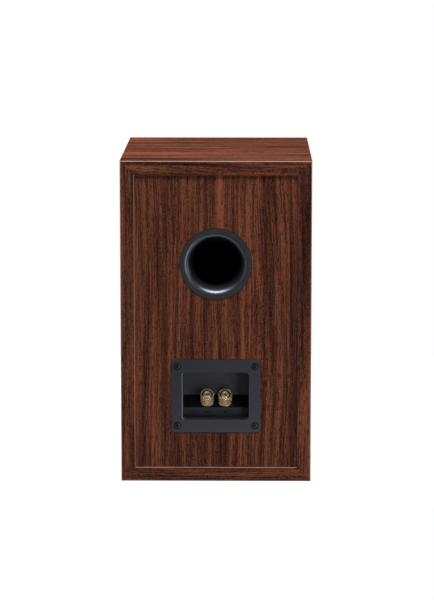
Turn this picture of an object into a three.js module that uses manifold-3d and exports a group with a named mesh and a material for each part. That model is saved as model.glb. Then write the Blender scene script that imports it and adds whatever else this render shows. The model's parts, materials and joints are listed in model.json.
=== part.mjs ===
// A two-way bookshelf speaker with a rear port, a terminal cup for banana plugs and a pull-off grille.
// Millimetres, +Z up. The grille faces -Y, the terminals face +Y and the cabinet stands on Z = 0.

import * as THREE from "three";
import { mergeVertices } from "three/addons/utils/BufferGeometryUtils.js";
import Module from "manifold-3d";

const wasm = await Module();
wasm.setup();

// ---------------------------------------------------------------- driving dimensions

const clearance = 0.25; // between two pieces that seat on each other or run in each other
const cutPast = 1; // how far a cutting tool runs past the face that it opens

const cabinetWidth = 200;
const cabinetHeight = 340;
const cabinetDepth = 250;
const boardThickness = 15;
const baffleThickness = 18;
const rearPanelThickness = 15;
const fittingProud = 0.4; // how far the port and the cup stand out of the rear panel
const rearPanelRecess = 1.6;
const liningThickness = 12;

const grilleInset = 1;
const grilleFrameThickness = 9;
const grilleWindowWidth = 146;
const grilleWindowMargin = 13; // above and below the drivers' flanges
const grilleWindowRadius = 10;
const grilleCornerRadius = 3;
const clothThickness = 0.75;
const pegDiameter = 7;
const pegLength = 9;
const pegFromBaffleEdge = 7.5;
const socketWall = 1.75;
const socketFloor = 2;

const portHeight = 231.75; // centre of the port above the base
const portFlangeDiameter = 75;
const portFlangeThickness = 2.75;
const portFlangeChamfer = 0.75;
const portMouthDiameter = 66.5;
const portThroatDiameter = 52;
const portFlareDepth = 8;
const portNeckDiameter = 69; // fills the hole in the rear panel
const portNeckLength = 12;
const portLength = 112;
const portWall = 2.5;

const cupHeight = 91.4; // centre of the terminal cup above the base
const cupPlateWidth = 93;
const cupPlateHeight = 78.2;
const cupPlateThickness = 3;
const cupPlateCornerRadius = 3.5;
const cupOpeningWidth = 72.5;
const cupOpeningHeight = 50.5;
const cupOpeningCornerRadius = 3.75;
const cupWall = 2.25;
const cupDepth = 28.5;
const cupLowerWallHeight = 9.7;
const cupLedgeLength = 16.2;
const cupScrewPitchX = 81.75;
const cupScrewPitchZ = 63.5;

const postPitch = 19;
const postTilt = THREE.MathUtils.degToRad(45);
const postTailDiameter = 4;
const postTailLength = 14;
const postCollarDiameter = 14.6;
const postCollarThickness = 1;
const postShaftDiameter = 5.8;
const bananaBore = 4;
const bananaBoreDepth = 9.5;
const postWasherDiameter = 10.5;
const postWasherThickness = 0.8;
const postRingDiameter = 11.5;
const postRingThickness = 1.2;
const insertDiameter = 8.6;
const insertLipThickness = 1.5; // over the end of the stud
const insertProud = 0.25; // how far the brass insert stands out of the cap
const capDiameter = 15;
const capTopDiameter = 13.2;
const capShoulder = 1.2; // height of the chamfer round the cap's top
const capTopHeight = 13.5;
const backNutDiameter = 9;
const backNutThickness = 3;

const cupScrew = { head: 7.4, headHeight: 1.1, shank: 3, length: 14 };
const cupScrewSink = 1.5; // depth of the counterbore
const wooferScrew = { head: 8, headHeight: 2, shank: 4, length: 16 };
const tweeterScrew = { head: 6.5, headHeight: 1.5, shank: 3.5, length: 14 };

const driverGap = 20; // between the two drivers' flanges

const woofer = {
  flangeDiameter: 146,
  flangeThickness: 4,
  cutoutDiameter: 125,
  screwCircle: 134,
  screwCount: 4,
  screw: wooferScrew,
};
const wooferSheet = 2; // metal of the basket
const wooferMouthDiameter = 118;
const wooferShelfDepth = 34;
const wooferShelfDiameter = 76;
const wooferSeatDepth = 44;
const wooferWindowCount = 6;
const wooferWindowWidth = 26;
const wooferWindowFront = 9;
const wooferWindowRear = 30;
const coneDiameter = 102;
const coneEdgeDepth = 1.5;
const coneNeckDepth = 22;
const coneThickness = 0.8;
const surroundRoll = 4.6; // radius of the half roll
const surroundThickness = 0.8;
const surroundLand = 3;
const dustCapDiameter = 48;
const dustCapRise = 9;
const spiderThickness = 0.8;
const spiderRise = 1.4; // height of each corrugation
const wooferCoilDiameter = 28;
const wooferFormerThickness = 0.5;
const wooferWindingThickness = 0.8;
const wooferWindingLength = 14;
const wooferPlateDiameter = 76;
const wooferPlateThickness = 5;
const wooferMagnetDiameter = 80;
const wooferMagnetBore = 44;
const wooferMagnetThickness = 15;
const wooferPoleDiameter = 25;
const wooferVentDiameter = 10;

const tweeter = {
  flangeDiameter: 94,
  flangeThickness: 4,
  cutoutDiameter: 72,
  screwCircle: 82,
  screwCount: 3,
  screw: tweeterScrew,
};
const tweeterMouthDiameter = 48;
const tweeterThroatDiameter = 34;
const domeDiameter = 25.4;
const domeRise = 6;
const domeThickness = 0.5;
const domeRoll = 1.8;
const tweeterFormerThickness = 0.4;
const tweeterWindingThickness = 0.5;
const tweeterCoilLength = 5;
const tweeterPlateDiameter = 60;
const tweeterPlateThickness = 4;
const tweeterMagnetDiameter = 64;
const tweeterMagnetBore = 36;
const tweeterMagnetThickness = 10;

const coilAirGap = 0.5; // between a voice coil and the steel on each side of it

const boardWidth = 100;
const boardLength = 84;
const crossoverBoardThickness = 3;
const crossoverY = 18; // centre of the board
const wooferInductor = { x: -26, y: 20, diameter: 42, bore: 16, height: 22, flange: 1.5 };
const tweeterInductor = { x: 30, y: 22, diameter: 28, bore: 12, height: 14, flange: 1.25 };
const inductorFlangeLip = 2;
const capacitorPlace = { x: 20, y: -14 };
const capacitorDiameter = 16;
const capacitorLength = 38;
const capacitorEdge = 1;

const cableDiameter = 3.2;
const cableSpacing = 2.9; // between the two conductors of one lead
const cableBend = 12;
const cableStep = 8; // length of one straight piece of a conductor
const inputLeadPlace = { x: 4, y: 34 };
const wooferLeadPlace = { x: -22, y: -34 };
const tweeterLeadPlace = { x: -10, y: -20 };
const tweeterLeadBehindMagnet = 14;

const fineSegments = 36;
const roundSegments = 24;
const smallSegments = 12;
const screwSegments = 8;
const capSides = 12;
const cableArcSteps = 4; // for half a turn
const cornerArcSteps = 2; // for half a corner
const flareSteps = 6;
const surroundSteps = 6;
const spiderWaves = 6;
const dustCapSteps = 5;
const domeSteps = 4;

// ---------------------------------------------------------------- worked-out sizes

const halfWidth = cabinetWidth / 2;
const innerHalfWidth = halfWidth - boardThickness;
const innerFloor = boardThickness;
const innerCeiling = cabinetHeight - boardThickness;

const grilleDepth = clearance + grilleFrameThickness + clearance + clothThickness;
const rearY = (cabinetDepth + grilleDepth) / 2;
const frontY = rearY - cabinetDepth;
const baffleBackY = frontY + baffleThickness;
const rearPanelY = rearY - rearPanelRecess; // outer face of the rear panel
const rearPanelInnerY = rearPanelY - rearPanelThickness;
const portFaceY = rearPanelY + fittingProud;
const cupFaceY = rearPanelY + fittingProud;

const postShaftRadius = postShaftDiameter / 2;
const postTailRadius = postTailDiameter / 2;
const washerStart = clearance + postCollarThickness + clearance;
const ringStart = washerStart + postWasherThickness + clearance;
const insertTopHeight = capTopHeight + insertProud;
const postTopHeight = insertTopHeight - insertLipThickness - clearance;
const ledgeFootDepth = cupDepth - cupLedgeLength * Math.sin(postTilt);
const ledgeFootZ = cupHeight - cupOpeningHeight / 2 + cupLowerWallHeight;
const ledgeTopZ = ledgeFootZ + cupLedgeLength * Math.cos(postTilt);
const postBase = new THREE.Vector3(
  0,
  cupFaceY - (ledgeFootDepth + cupDepth) / 2,
  (ledgeFootZ + ledgeTopZ) / 2,
);
const postAxis = new THREE.Vector3(0, Math.cos(postTilt), Math.sin(postTilt));
const boardTop = innerFloor + clearance + crossoverBoardThickness;

// The two drivers stand one above the other in the middle of the baffle.
const driverStack = woofer.flangeDiameter + driverGap + tweeter.flangeDiameter;
woofer.height = (cabinetHeight - driverStack + woofer.flangeDiameter) / 2;
tweeter.height = (cabinetHeight + driverStack - tweeter.flangeDiameter) / 2;

// ---------------------------------------------------------------- looks

const looks = {
  veneer: { color: 0x6a4031, roughness: 0.55, metalness: 0 },
  fibreboard: { color: 0x8c6a4a, roughness: 0.9, metalness: 0 },
  baffle: { color: 0x17171a, roughness: 0.6, metalness: 0 },
  wadding: { color: 0xc9c6bd, roughness: 1, metalness: 0 },
  blackPlastic: { color: 0x1c1e21, roughness: 0.4, metalness: 0 },
  cloth: { color: 0x101012, roughness: 1, metalness: 0 },
  gold: { color: 0xd6a85a, roughness: 0.25, metalness: 1 },
  clearPlastic: { color: 0xd8c4b8, roughness: 0.1, metalness: 0 },
  redPlastic: { color: 0xb03026, roughness: 0.4, metalness: 0 },
  blackSteel: { color: 0x202226, roughness: 0.35, metalness: 0.9 },
  zincSteel: { color: 0xaeb2b6, roughness: 0.35, metalness: 1 },
  ferrite: { color: 0x3a3a3d, roughness: 0.7, metalness: 0.2 },
  rubber: { color: 0x141415, roughness: 0.7, metalness: 0 },
  paper: { color: 0x2a2a2c, roughness: 0.85, metalness: 0 },
  spiderCloth: { color: 0xb8894a, roughness: 0.9, metalness: 0 },
  copper: { color: 0xb5673a, roughness: 0.3, metalness: 1 },
  silk: { color: 0x1e1e22, roughness: 0.6, metalness: 0 },
  film: { color: 0xd9b23a, roughness: 0.4, metalness: 0 },
  cable: { color: 0x8a1f1f, roughness: 0.5, metalness: 0 },
};

// ---------------------------------------------------------------- shapes and solids

const speaker = new THREE.Group();

function add(name, geometry, look, parent = speaker) {
  const mesh = new THREE.Mesh(geometry, new THREE.MeshStandardMaterial(look));
  mesh.name = name;
  parent.add(mesh);
  return mesh;
}

function solidFrom(geometry) {
  const bare = geometry.clone();
  bare.deleteAttribute("normal");
  bare.deleteAttribute("uv");
  const merged = mergeVertices(bare);
  return new wasm.Manifold(
    new wasm.Mesh({
      numProp: 3,
      vertProperties: merged.attributes.position.array,
      triVerts: new Uint32Array(merged.index.array),
    }),
  );
}

function geometryFrom(solid) {
  const { vertProperties, triVerts } = solid.getMesh();
  const geometry = new THREE.BufferGeometry();
  geometry.setAttribute("position", new THREE.BufferAttribute(vertProperties, 3));
  geometry.setIndex(new THREE.BufferAttribute(triVerts, 1));
  geometry.computeVertexNormals();
  return geometry;
}

function cut(body, tools) {
  return geometryFrom(tools.reduce((solid, tool) => solid.subtract(solidFrom(tool)), solidFrom(body)));
}

function join(bodies) {
  return geometryFrom(bodies.map(solidFrom).reduce((whole, solid) => whole.add(solid)));
}

function common(a, b) {
  return geometryFrom(solidFrom(a).intersect(solidFrom(b)));
}

// A solid or a ring turned about the Y axis from [radius, y] points. A solid's outline starts and
// ends on the axis, and a ring's closes on itself.
function turned(outline, segments = roundSegments) {
  const points = outline.map(([radius, y]) => new THREE.Vector2(radius, y));
  if (THREE.ShapeUtils.area(points) < 0) points.reverse();
  if (points[0].x > 0) points.push(points[0].clone());
  return new THREE.LatheGeometry(points, segments);
}

function disc(radius, fromY, toY, segments) {
  return turned([[0, fromY], [radius, fromY], [radius, toY], [0, toY]], segments);
}

function ring(innerRadius, outerRadius, fromY, toY, segments) {
  const outline = [[innerRadius, fromY], [outerRadius, fromY], [outerRadius, toY], [innerRadius, toY]];
  return turned(outline, segments);
}

function polygon(points) {
  return new THREE.Shape(points.map(([x, y]) => new THREE.Vector2(x, y)));
}

function rectangle(left, right, bottom, top) {
  return polygon([[left, bottom], [right, bottom], [right, top], [left, top]]);
}

function roundedRectangle(centreX, centreY, width, height, radius, PathType = THREE.Shape) {
  const right = centreX + width / 2 - radius;
  const left = centreX - width / 2 + radius;
  const top = centreY + height / 2 - radius;
  const bottom = centreY - height / 2 + radius;
  const outline = new PathType();
  outline.absarc(right, bottom, radius, -Math.PI / 2, 0, false);
  outline.absarc(right, top, radius, 0, Math.PI / 2, false);
  outline.absarc(left, top, radius, Math.PI / 2, Math.PI, false);
  outline.absarc(left, bottom, radius, Math.PI, 1.5 * Math.PI, false);
  outline.closePath();
  return outline;
}

// Turns a shape drawn in X and Y to stand in X and Z, and whatever pointed along +Y to point up.
const upright = new THREE.Matrix4().makeBasis(
  new THREE.Vector3(1, 0, 0),
  new THREE.Vector3(0, 0, 1),
  new THREE.Vector3(0, -1, 0),
);
// Turns a shape drawn in X and Y to stand in Y and Z, extruded along +X.
const sideways = new THREE.Matrix4().makeBasis(
  new THREE.Vector3(0, 1, 0),
  new THREE.Vector3(0, 0, 1),
  new THREE.Vector3(1, 0, 0),
);

function extruded(shape, depth) {
  return new THREE.ExtrudeGeometry(shape, { depth, bevelEnabled: false, curveSegments: cornerArcSteps });
}

function prismAlongY(shape, fromY, toY) {
  return extruded(shape, toY - fromY).applyMatrix4(upright).translate(0, toY, 0);
}

function prismAlongX(shape, fromX, toX) {
  return extruded(shape, toX - fromX).applyMatrix4(sideways).translate(fromX, 0, 0);
}

function prismAlongZ(shape, fromZ, toZ) {
  return extruded(shape, toZ - fromZ).translate(0, 0, fromZ);
}

// A screw with its head's underside at Y = 0 and its shank running along +Y or -Y.
function screw({ head, headHeight, shank, length }, direction) {
  const outline = [
    [0, -headHeight * direction],
    [head / 2, -headHeight * direction],
    [head / 2, 0],
    [shank / 2, 0],
    [shank / 2, length * direction],
    [0, length * direction],
  ];
  return turned(outline, screwSegments);
}

function screwHole({ shank, length }, fromY, direction) {
  const radius = shank / 2 + clearance;
  const toY = fromY + (length + clearance) * direction;
  return disc(radius, fromY - cutPast * direction, toY, screwSegments);
}

// Screw places round a driver, [x, z] from its centre.
function driverScrewPlaces({ screwCircle, screwCount }) {
  return Array.from({ length: screwCount }, (_, i) => {
    const angle = Math.PI / 4 + (i * 2 * Math.PI) / screwCount;
    return [(screwCircle / 2) * Math.cos(angle), (screwCircle / 2) * Math.sin(angle)];
  });
}

function cornerPlaces(halfX, halfZ) {
  return [[-halfX, -halfZ], [halfX, -halfZ], [halfX, halfZ], [-halfX, halfZ]];
}

// ---------------------------------------------------------------- cabinet

// Four boards, mitred at 45 degrees where they meet.
function cabinetBoards() {
  const outer = [[-halfWidth, 0], [halfWidth, 0], [halfWidth, cabinetHeight], [-halfWidth, cabinetHeight]];
  const inner = [
    [-innerHalfWidth, innerFloor],
    [innerHalfWidth, innerFloor],
    [innerHalfWidth, innerCeiling],
    [-innerHalfWidth, innerCeiling],
  ];
  ["bottom_panel", "right_side_panel", "top_panel", "left_side_panel"].forEach((name, i) => {
    const next = (i + 1) % outer.length;
    const outline = polygon([outer[i], outer[next], inner[next], inner[i]]);
    add(name, prismAlongY(outline, frontY, rearY), looks.veneer);
  });
}

const insideOutline = () => rectangle(-innerHalfWidth, innerHalfWidth, innerFloor, innerCeiling);

// The rebate, the opening and the pilot holes that a driver needs in the baffle.
function driverCuts(driver) {
  const rebateRadius = driver.flangeDiameter / 2 + clearance;
  const rebate = disc(rebateRadius, -cutPast, driver.flangeThickness + clearance, fineSegments);
  const cutout = disc(driver.cutoutDiameter / 2, 0, baffleThickness + cutPast, fineSegments);
  const pilots = driverScrewPlaces(driver).map(([x, z]) => {
    return screwHole(driver.screw, -clearance, 1).translate(x, 0, z);
  });
  return [rebate, cutout, ...pilots].map((tool) => tool.translate(0, frontY, driver.height));
}

const pegPlaces = () => {
  const middle = (innerFloor + innerCeiling) / 2;
  const halfRise = (innerCeiling - innerFloor) / 2;
  const places = cornerPlaces(innerHalfWidth - pegFromBaffleEdge, halfRise - pegFromBaffleEdge);
  return places.map(([x, z]) => [x, middle + z]);
};
const socketRadius = pegDiameter / 2 + clearance + socketWall;
const socketDepth = pegLength + clearance + socketFloor;

function frontBaffle() {
  const board = prismAlongY(insideOutline(), frontY, baffleBackY);
  const socketHoles = pegPlaces().map(([x, z]) => {
    const hole = disc(socketRadius + clearance, -cutPast, socketDepth + clearance, smallSegments);
    return hole.translate(x, frontY, z);
  });
  const cuts = [...driverCuts(woofer), ...driverCuts(tweeter), ...socketHoles];
  add("front_baffle", cut(board, cuts), looks.baffle);
}

const cupScrewPlaces = () => {
  const places = cornerPlaces(cupScrewPitchX / 2, cupScrewPitchZ / 2);
  return places.map(([x, z]) => [x, cupHeight + z]);
};
// Underside of the cup screws' heads, in the plate's counterbores.
const cupScrewSeatY = cupFaceY - cupScrewSink + clearance;

function rearPanel() {
  const board = prismAlongY(insideOutline(), rearPanelInnerY, rearPanelY);
  const portHole = disc(
    portNeckDiameter / 2 + clearance,
    rearPanelInnerY - cutPast,
    rearPanelY + cutPast,
    fineSegments,
  ).translate(0, 0, portHeight);
  const portRebate = disc(
    portFlangeDiameter / 2 + clearance,
    portFaceY - portFlangeThickness - clearance,
    rearPanelY + cutPast,
    fineSegments,
  ).translate(0, 0, portHeight);
  const cupRebate = prismAlongY(
    roundedRectangle(
      0,
      cupHeight,
      cupPlateWidth + 2 * clearance,
      cupPlateHeight + 2 * clearance,
      cupPlateCornerRadius + clearance,
    ),
    cupFaceY - cupPlateThickness - clearance,
    rearPanelY + cutPast,
  );
  const margin = 2 * (cupWall + clearance);
  const cupHole = prismAlongY(
    roundedRectangle(
      0,
      cupHeight,
      cupOpeningWidth + margin,
      cupOpeningHeight + margin,
      cupOpeningCornerRadius + cupWall + clearance,
    ),
    rearPanelInnerY - cutPast,
    rearPanelY + cutPast,
  );
  const screwHoles = cupScrewPlaces().map(([x, z]) => {
    return screwHole(cupScrew, cupScrewSeatY, -1).translate(x, 0, z);
  });
  const cuts = [portRebate, cupRebate, portHole, cupHole, ...screwHoles];
  add("rear_panel", cut(board, cuts), looks.veneer);
}

// Wadding against the sides and the top.
function dampingLining() {
  const outerX = innerHalfWidth - clearance;
  const innerX = outerX - liningThickness;
  const topZ = innerCeiling - clearance;
  const underZ = topZ - liningThickness;
  const footZ = innerFloor + clearance;
  const outline = polygon([
    [outerX, footZ],
    [outerX, topZ],
    [-outerX, topZ],
    [-outerX, footZ],
    [-innerX, footZ],
    [-innerX, underZ],
    [innerX, underZ],
    [innerX, footZ],
  ]);
  const lining = prismAlongY(outline, baffleBackY + clearance, rearPanelInnerY - clearance);
  add("damping_lining", lining, looks.wadding);
}

// ---------------------------------------------------------------- port

function portTube() {
  const flange = portFlangeDiameter / 2;
  const mouth = portMouthDiameter / 2;
  const throat = portThroatDiameter / 2;
  const neck = portNeckDiameter / 2;
  const tube = throat + portWall;
  const flare = Array.from({ length: flareSteps + 1 }, (_, i) => {
    const angle = (i / flareSteps) * (Math.PI / 2);
    return [mouth - (mouth - throat) * Math.cos(angle), -portFlareDepth * (1 - Math.sin(angle))];
  });
  const outline = [
    ...flare,
    [flange - portFlangeChamfer, 0],
    [flange, -portFlangeChamfer],
    [flange, -portFlangeThickness],
    [neck, -portFlangeThickness],
    [neck, -portNeckLength],
    [tube, -portNeckLength - (neck - tube)],
    [tube, -portLength],
    [throat, -portLength],
  ];
  add("port_tube", turned(outline, fineSegments).translate(0, portFaceY, portHeight), looks.blackPlastic);
}

// ---------------------------------------------------------------- terminal cup

// Outline in Y and Z of the cup's hollow, or of its shell when grown by the wall.
function cupOutline(grow, mouthDepth) {
  const slant = grow * Math.tan(postTilt / 2);
  const topZ = cupHeight + cupOpeningHeight / 2 + grow;
  const bottomZ = cupHeight - cupOpeningHeight / 2 - grow;
  const backY = cupFaceY - cupDepth - grow;
  const footY = cupFaceY - ledgeFootDepth - grow;
  const mouthY = cupFaceY - mouthDepth;
  return polygon([
    [mouthY, bottomZ],
    [mouthY, topZ],
    [backY, topZ],
    [backY, ledgeTopZ - slant],
    [footY, ledgeFootZ - slant],
    [footY, bottomZ],
  ]);
}

function cupBlock(grow, mouthDepth) {
  const halfOpening = cupOpeningWidth / 2 + grow;
  const side = prismAlongX(cupOutline(grow, mouthDepth), -halfOpening, halfOpening);
  const face = prismAlongY(
    roundedRectangle(
      0,
      cupHeight,
      cupOpeningWidth + 2 * grow,
      cupOpeningHeight + 2 * grow,
      cupOpeningCornerRadius + grow,
    ),
    cupFaceY - cupDepth - 2 * cupWall,
    cupFaceY + cutPast,
  );
  return common(side, face);
}

function terminalCup() {
  const plate = prismAlongY(
    roundedRectangle(0, cupHeight, cupPlateWidth, cupPlateHeight, cupPlateCornerRadius),
    cupFaceY - cupPlateThickness,
    cupFaceY,
  );
  const shell = join([plate, cupBlock(cupWall, cupPlateThickness / 2)]);
  const screwCuts = cupScrewPlaces().flatMap(([x, z]) => [
    disc(cupScrew.head / 2 + clearance, cupFaceY - cupScrewSink, cupFaceY + cutPast, screwSegments),
    disc(cupScrew.shank / 2 + clearance, cupFaceY - cupPlateThickness - cutPast, cupFaceY, screwSegments),
  ].map((tool) => tool.translate(x, 0, z)));
  const postHoles = postPlaces().map((place) => {
    const hole = disc(postTailRadius + clearance, -cupWall - cutPast, cutPast, smallSegments);
    return hole.rotateX(postTilt).translate(...place);
  });
  add(
    "terminal_cup",
    cut(shell, [cupBlock(0, -cutPast), ...screwCuts, ...postHoles]),
    looks.blackPlastic,
  );
  cupScrewPlaces().forEach(([x, z], i) => {
    const fastener = screw(cupScrew, -1).translate(x, cupScrewSeatY, z);
    add(`terminal_cup_screw_${i + 1}`, fastener, looks.blackSteel);
  });
}

// ---------------------------------------------------------------- binding posts

const postPlaces = () => [-postPitch / 2, postPitch / 2].map((x) => [x, postBase.y, postBase.z]);

// All post pieces are turned about the post's own +Y, with Y = 0 on the cup's slanted ledge.
function postStud() {
  const outline = [
    [0, -postTailLength],
    [postTailRadius, -postTailLength],
    [postTailRadius, clearance],
    [postCollarDiameter / 2, clearance],
    [postCollarDiameter / 2, clearance + postCollarThickness],
    [postShaftRadius, clearance + postCollarThickness],
    [postShaftRadius, postTopHeight],
    [bananaBore / 2, postTopHeight],
    [bananaBore / 2, postTopHeight - bananaBoreDepth],
    [0, postTopHeight - bananaBoreDepth],
  ];
  return turned(outline, smallSegments);
}

function backNut() {
  const outline = new THREE.Shape();
  const corners = 6;
  for (let i = 0; i < corners; i += 1) {
    const angle = (i / corners) * 2 * Math.PI;
    const corner = [(backNutDiameter / 2) * Math.cos(angle), (backNutDiameter / 2) * Math.sin(angle)];
    if (i === 0) outline.moveTo(...corner);
    else outline.lineTo(...corner);
  }
  outline.closePath();
  const top = -cupWall - clearance;
  const nut = prismAlongY(outline, top - backNutThickness, top);
  const bore = disc(
    postTailRadius + clearance,
    top - backNutThickness - cutPast,
    top + cutPast,
    smallSegments,
  );
  return cut(nut, [bore]);
}

// The threaded insert of the thumb cap, with a lip over the stud's end round the banana socket.
function capInsert() {
  const shaftBore = postShaftRadius + clearance;
  const lipUnderside = insertTopHeight - insertLipThickness;
  const outline = [
    [shaftBore, ringStart],
    [insertDiameter / 2, ringStart],
    [insertDiameter / 2, insertTopHeight],
    [bananaBore / 2, insertTopHeight],
    [bananaBore / 2, lipUnderside],
    [shaftBore, lipUnderside],
  ];
  return turned(outline, smallSegments);
}

// The faceted clear cap, whose skirt goes down over the colour ring and the clamp washer.
function thumbCap(insertBore) {
  const skirtBore = postRingDiameter / 2 + clearance;
  const skirtTop = ringStart + postRingThickness + clearance;
  const outline = [
    [skirtBore, washerStart],
    [capDiameter / 2, washerStart],
    [capDiameter / 2, capTopHeight - capShoulder],
    [capTopDiameter / 2, capTopHeight],
    [insertBore, capTopHeight],
    [insertBore, skirtTop],
    [skirtBore, skirtTop],
  ];
  return turned(outline, capSides);
}

function bindingPost(polarity, place, ringLook) {
  const post = new THREE.Group();
  post.position.set(...place);
  post.rotation.x = postTilt;
  speaker.add(post);
  const insertBore = insertDiameter / 2 + clearance;
  add(`${polarity}_post_stud`, postStud(), looks.gold, post);
  add(`${polarity}_post_back_nut`, backNut(), looks.zincSteel, post);
  add(
    `${polarity}_post_clamp_washer`,
    ring(
      postShaftRadius + clearance,
      postWasherDiameter / 2,
      washerStart,
      washerStart + postWasherThickness,
      smallSegments,
    ),
    looks.gold,
    post,
  );
  add(
    `${polarity}_post_colour_ring`,
    ring(insertBore, postRingDiameter / 2, ringStart, ringStart + postRingThickness, smallSegments),
    ringLook,
    post,
  );
  add(`${polarity}_post_cap_insert`, capInsert(), looks.gold, post);
  add(`${polarity}_post_thumb_cap`, thumbCap(insertBore), looks.clearPlastic, post);
}

function bindingPosts() {
  const [positive, negative] = postPlaces();
  bindingPost("positive", positive, looks.redPlastic);
  bindingPost("negative", negative, looks.blackPlastic);
}

// ---------------------------------------------------------------- drivers

function driverScrews(name, driver) {
  driverScrewPlaces(driver).forEach(([x, z], i) => {
    const fastener = screw(driver.screw, 1).translate(x, frontY - clearance, driver.height + z);
    add(`${name}_screw_${i + 1}`, fastener, looks.blackSteel);
  });
}

function withScrewHoles(body, driver) {
  const holes = driverScrewPlaces(driver).map(([x, z]) => {
    const hole = disc(
      driver.screw.shank / 2 + clearance,
      -cutPast,
      driver.flangeThickness + cutPast,
      screwSegments,
    );
    return hole.translate(x, 0, z);
  });
  return cut(body, holes);
}

// Driver pieces are turned about Y with Y = 0 on the baffle's face and +Y into the cabinet.
function wooferBasket() {
  const shelf = wooferShelfDiameter / 2;
  const rim = wooferMouthDiameter / 2;
  const former = wooferCoilDiameter / 2 + wooferWindingThickness + coilAirGap;
  const outline = [
    [rim, 0],
    [woofer.flangeDiameter / 2, 0],
    [woofer.flangeDiameter / 2, woofer.flangeThickness],
    [rim + wooferSheet, woofer.flangeThickness],
    [shelf + wooferSheet, wooferShelfDepth + wooferSheet],
    [shelf + wooferSheet, wooferSeatDepth + wooferSheet],
    [former, wooferSeatDepth + wooferSheet],
    [former, wooferSeatDepth],
    [shelf, wooferSeatDepth],
    [shelf, wooferShelfDepth + wooferSheet],
    [shelf - 2 * wooferSheet, wooferShelfDepth + wooferSheet],
    [shelf - 2 * wooferSheet, wooferShelfDepth],
    [shelf, wooferShelfDepth],
    [rim, woofer.flangeThickness],
  ];
  const windowInner = shelf - wooferSheet;
  const windowOuter = woofer.flangeDiameter / 2;
  const windows = Array.from({ length: wooferWindowCount }, (_, i) => {
    const tool = new THREE.BoxGeometry(
      wooferWindowWidth,
      wooferWindowRear - wooferWindowFront,
      windowOuter - windowInner,
    );
    tool.translate(0, (wooferWindowRear + wooferWindowFront) / 2, (windowOuter + windowInner) / 2);
    return tool.rotateY(((i + 0.5) * 2 * Math.PI) / wooferWindowCount);
  });
  return withScrewHoles(cut(turned(outline, fineSegments), windows), woofer);
}

// Half roll of rubber between the basket's flange and the cone, bulging towards the listener.
function wooferSurround() {
  const rollInner = wooferMouthDiameter / 2 + 2 * clearance - 2 * surroundRoll;
  const rollCentre = rollInner + surroundRoll;
  const arc = (radius) =>
    Array.from({ length: surroundSteps + 1 }, (_, i) => {
      const angle = (i / surroundSteps) * Math.PI;
      return [rollCentre - radius * Math.cos(angle), -clearance - radius * Math.sin(angle)];
    });
  const front = -clearance - surroundThickness;
  const outline = [
    [rollInner - surroundLand, front],
    ...arc(surroundRoll).filter(([, y]) => y < front),
    [rollCentre + surroundRoll + surroundLand, front],
    [rollCentre + surroundRoll + surroundLand, -clearance],
    ...arc(surroundRoll - surroundThickness).reverse(),
    [rollInner - surroundLand, -clearance],
  ];
  return turned(outline);
}

function wooferCone() {
  const edge = coneDiameter / 2;
  const neck = wooferCoilDiameter / 2 + clearance;
  return turned([
    [neck, coneNeckDepth],
    [neck, coneNeckDepth + coneThickness],
    [edge, coneEdgeDepth],
    [edge, 0],
    [edge - surroundLand, 0],
  ]);
}

// Depth of the cone's front face at a radius.
function coneFace(radius) {
  const neck = wooferCoilDiameter / 2 + clearance;
  const edge = coneDiameter / 2 - surroundLand;
  return (coneNeckDepth * (edge - radius)) / (edge - neck);
}

// Points from a dome's edge at baseY to its top on the axis.
function domeArc(radius, baseY, rise, steps) {
  const arc = Array.from({ length: steps }, (_, i) => {
    const angle = (i / steps) * (Math.PI / 2);
    return [radius * Math.cos(angle), baseY - rise * Math.sin(angle)];
  });
  return [...arc, [0, baseY - rise]];
}

function wooferDustCap() {
  const radius = dustCapDiameter / 2;
  const baseY = coneFace(radius) - clearance;
  const outside = domeArc(radius, baseY, dustCapRise, dustCapSteps);
  const inside = domeArc(radius - coneThickness, baseY, dustCapRise - coneThickness, dustCapSteps);
  return turned([...outside.reverse(), ...inside]);
}

function wooferSpider() {
  const inner = wooferCoilDiameter / 2 + clearance;
  const outer = wooferShelfDiameter / 2 - clearance;
  const rear = wooferShelfDepth - clearance;
  const crest = (i) => (i % 2 === 1 ? -spiderRise : 0);
  const along = (y) =>
    Array.from({ length: spiderWaves + 1 }, (_, i) => {
      return [inner + ((outer - inner) * i) / spiderWaves, y + crest(i)];
    });
  return turned([...along(rear - spiderThickness), ...along(rear).reverse()]);
}

function voiceCoil(diameter, former, winding, frontY0, windingY0, endY) {
  const inner = diameter / 2 - former;
  return turned([
    [inner, frontY0],
    [diameter / 2, frontY0],
    [diameter / 2, windingY0],
    [diameter / 2 + winding, windingY0],
    [diameter / 2 + winding, endY],
    [inner, endY],
  ]);
}

const wooferTopPlateY = wooferSeatDepth + wooferSheet + clearance;
const wooferMagnetY = wooferTopPlateY + wooferPlateThickness + clearance;
const wooferBackPlateY = wooferMagnetY + wooferMagnetThickness + clearance;
const wooferGapRadius = wooferCoilDiameter / 2 + wooferWindingThickness + coilAirGap;

function wooferYoke() {
  const pole = wooferPoleDiameter / 2;
  const vent = wooferVentDiameter / 2;
  const plate = wooferPlateDiameter / 2;
  return turned([
    [vent, wooferTopPlateY],
    [pole, wooferTopPlateY],
    [pole, wooferBackPlateY],
    [plate, wooferBackPlateY],
    [plate, wooferBackPlateY + wooferPlateThickness],
    [vent, wooferBackPlateY + wooferPlateThickness],
  ]);
}

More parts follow.
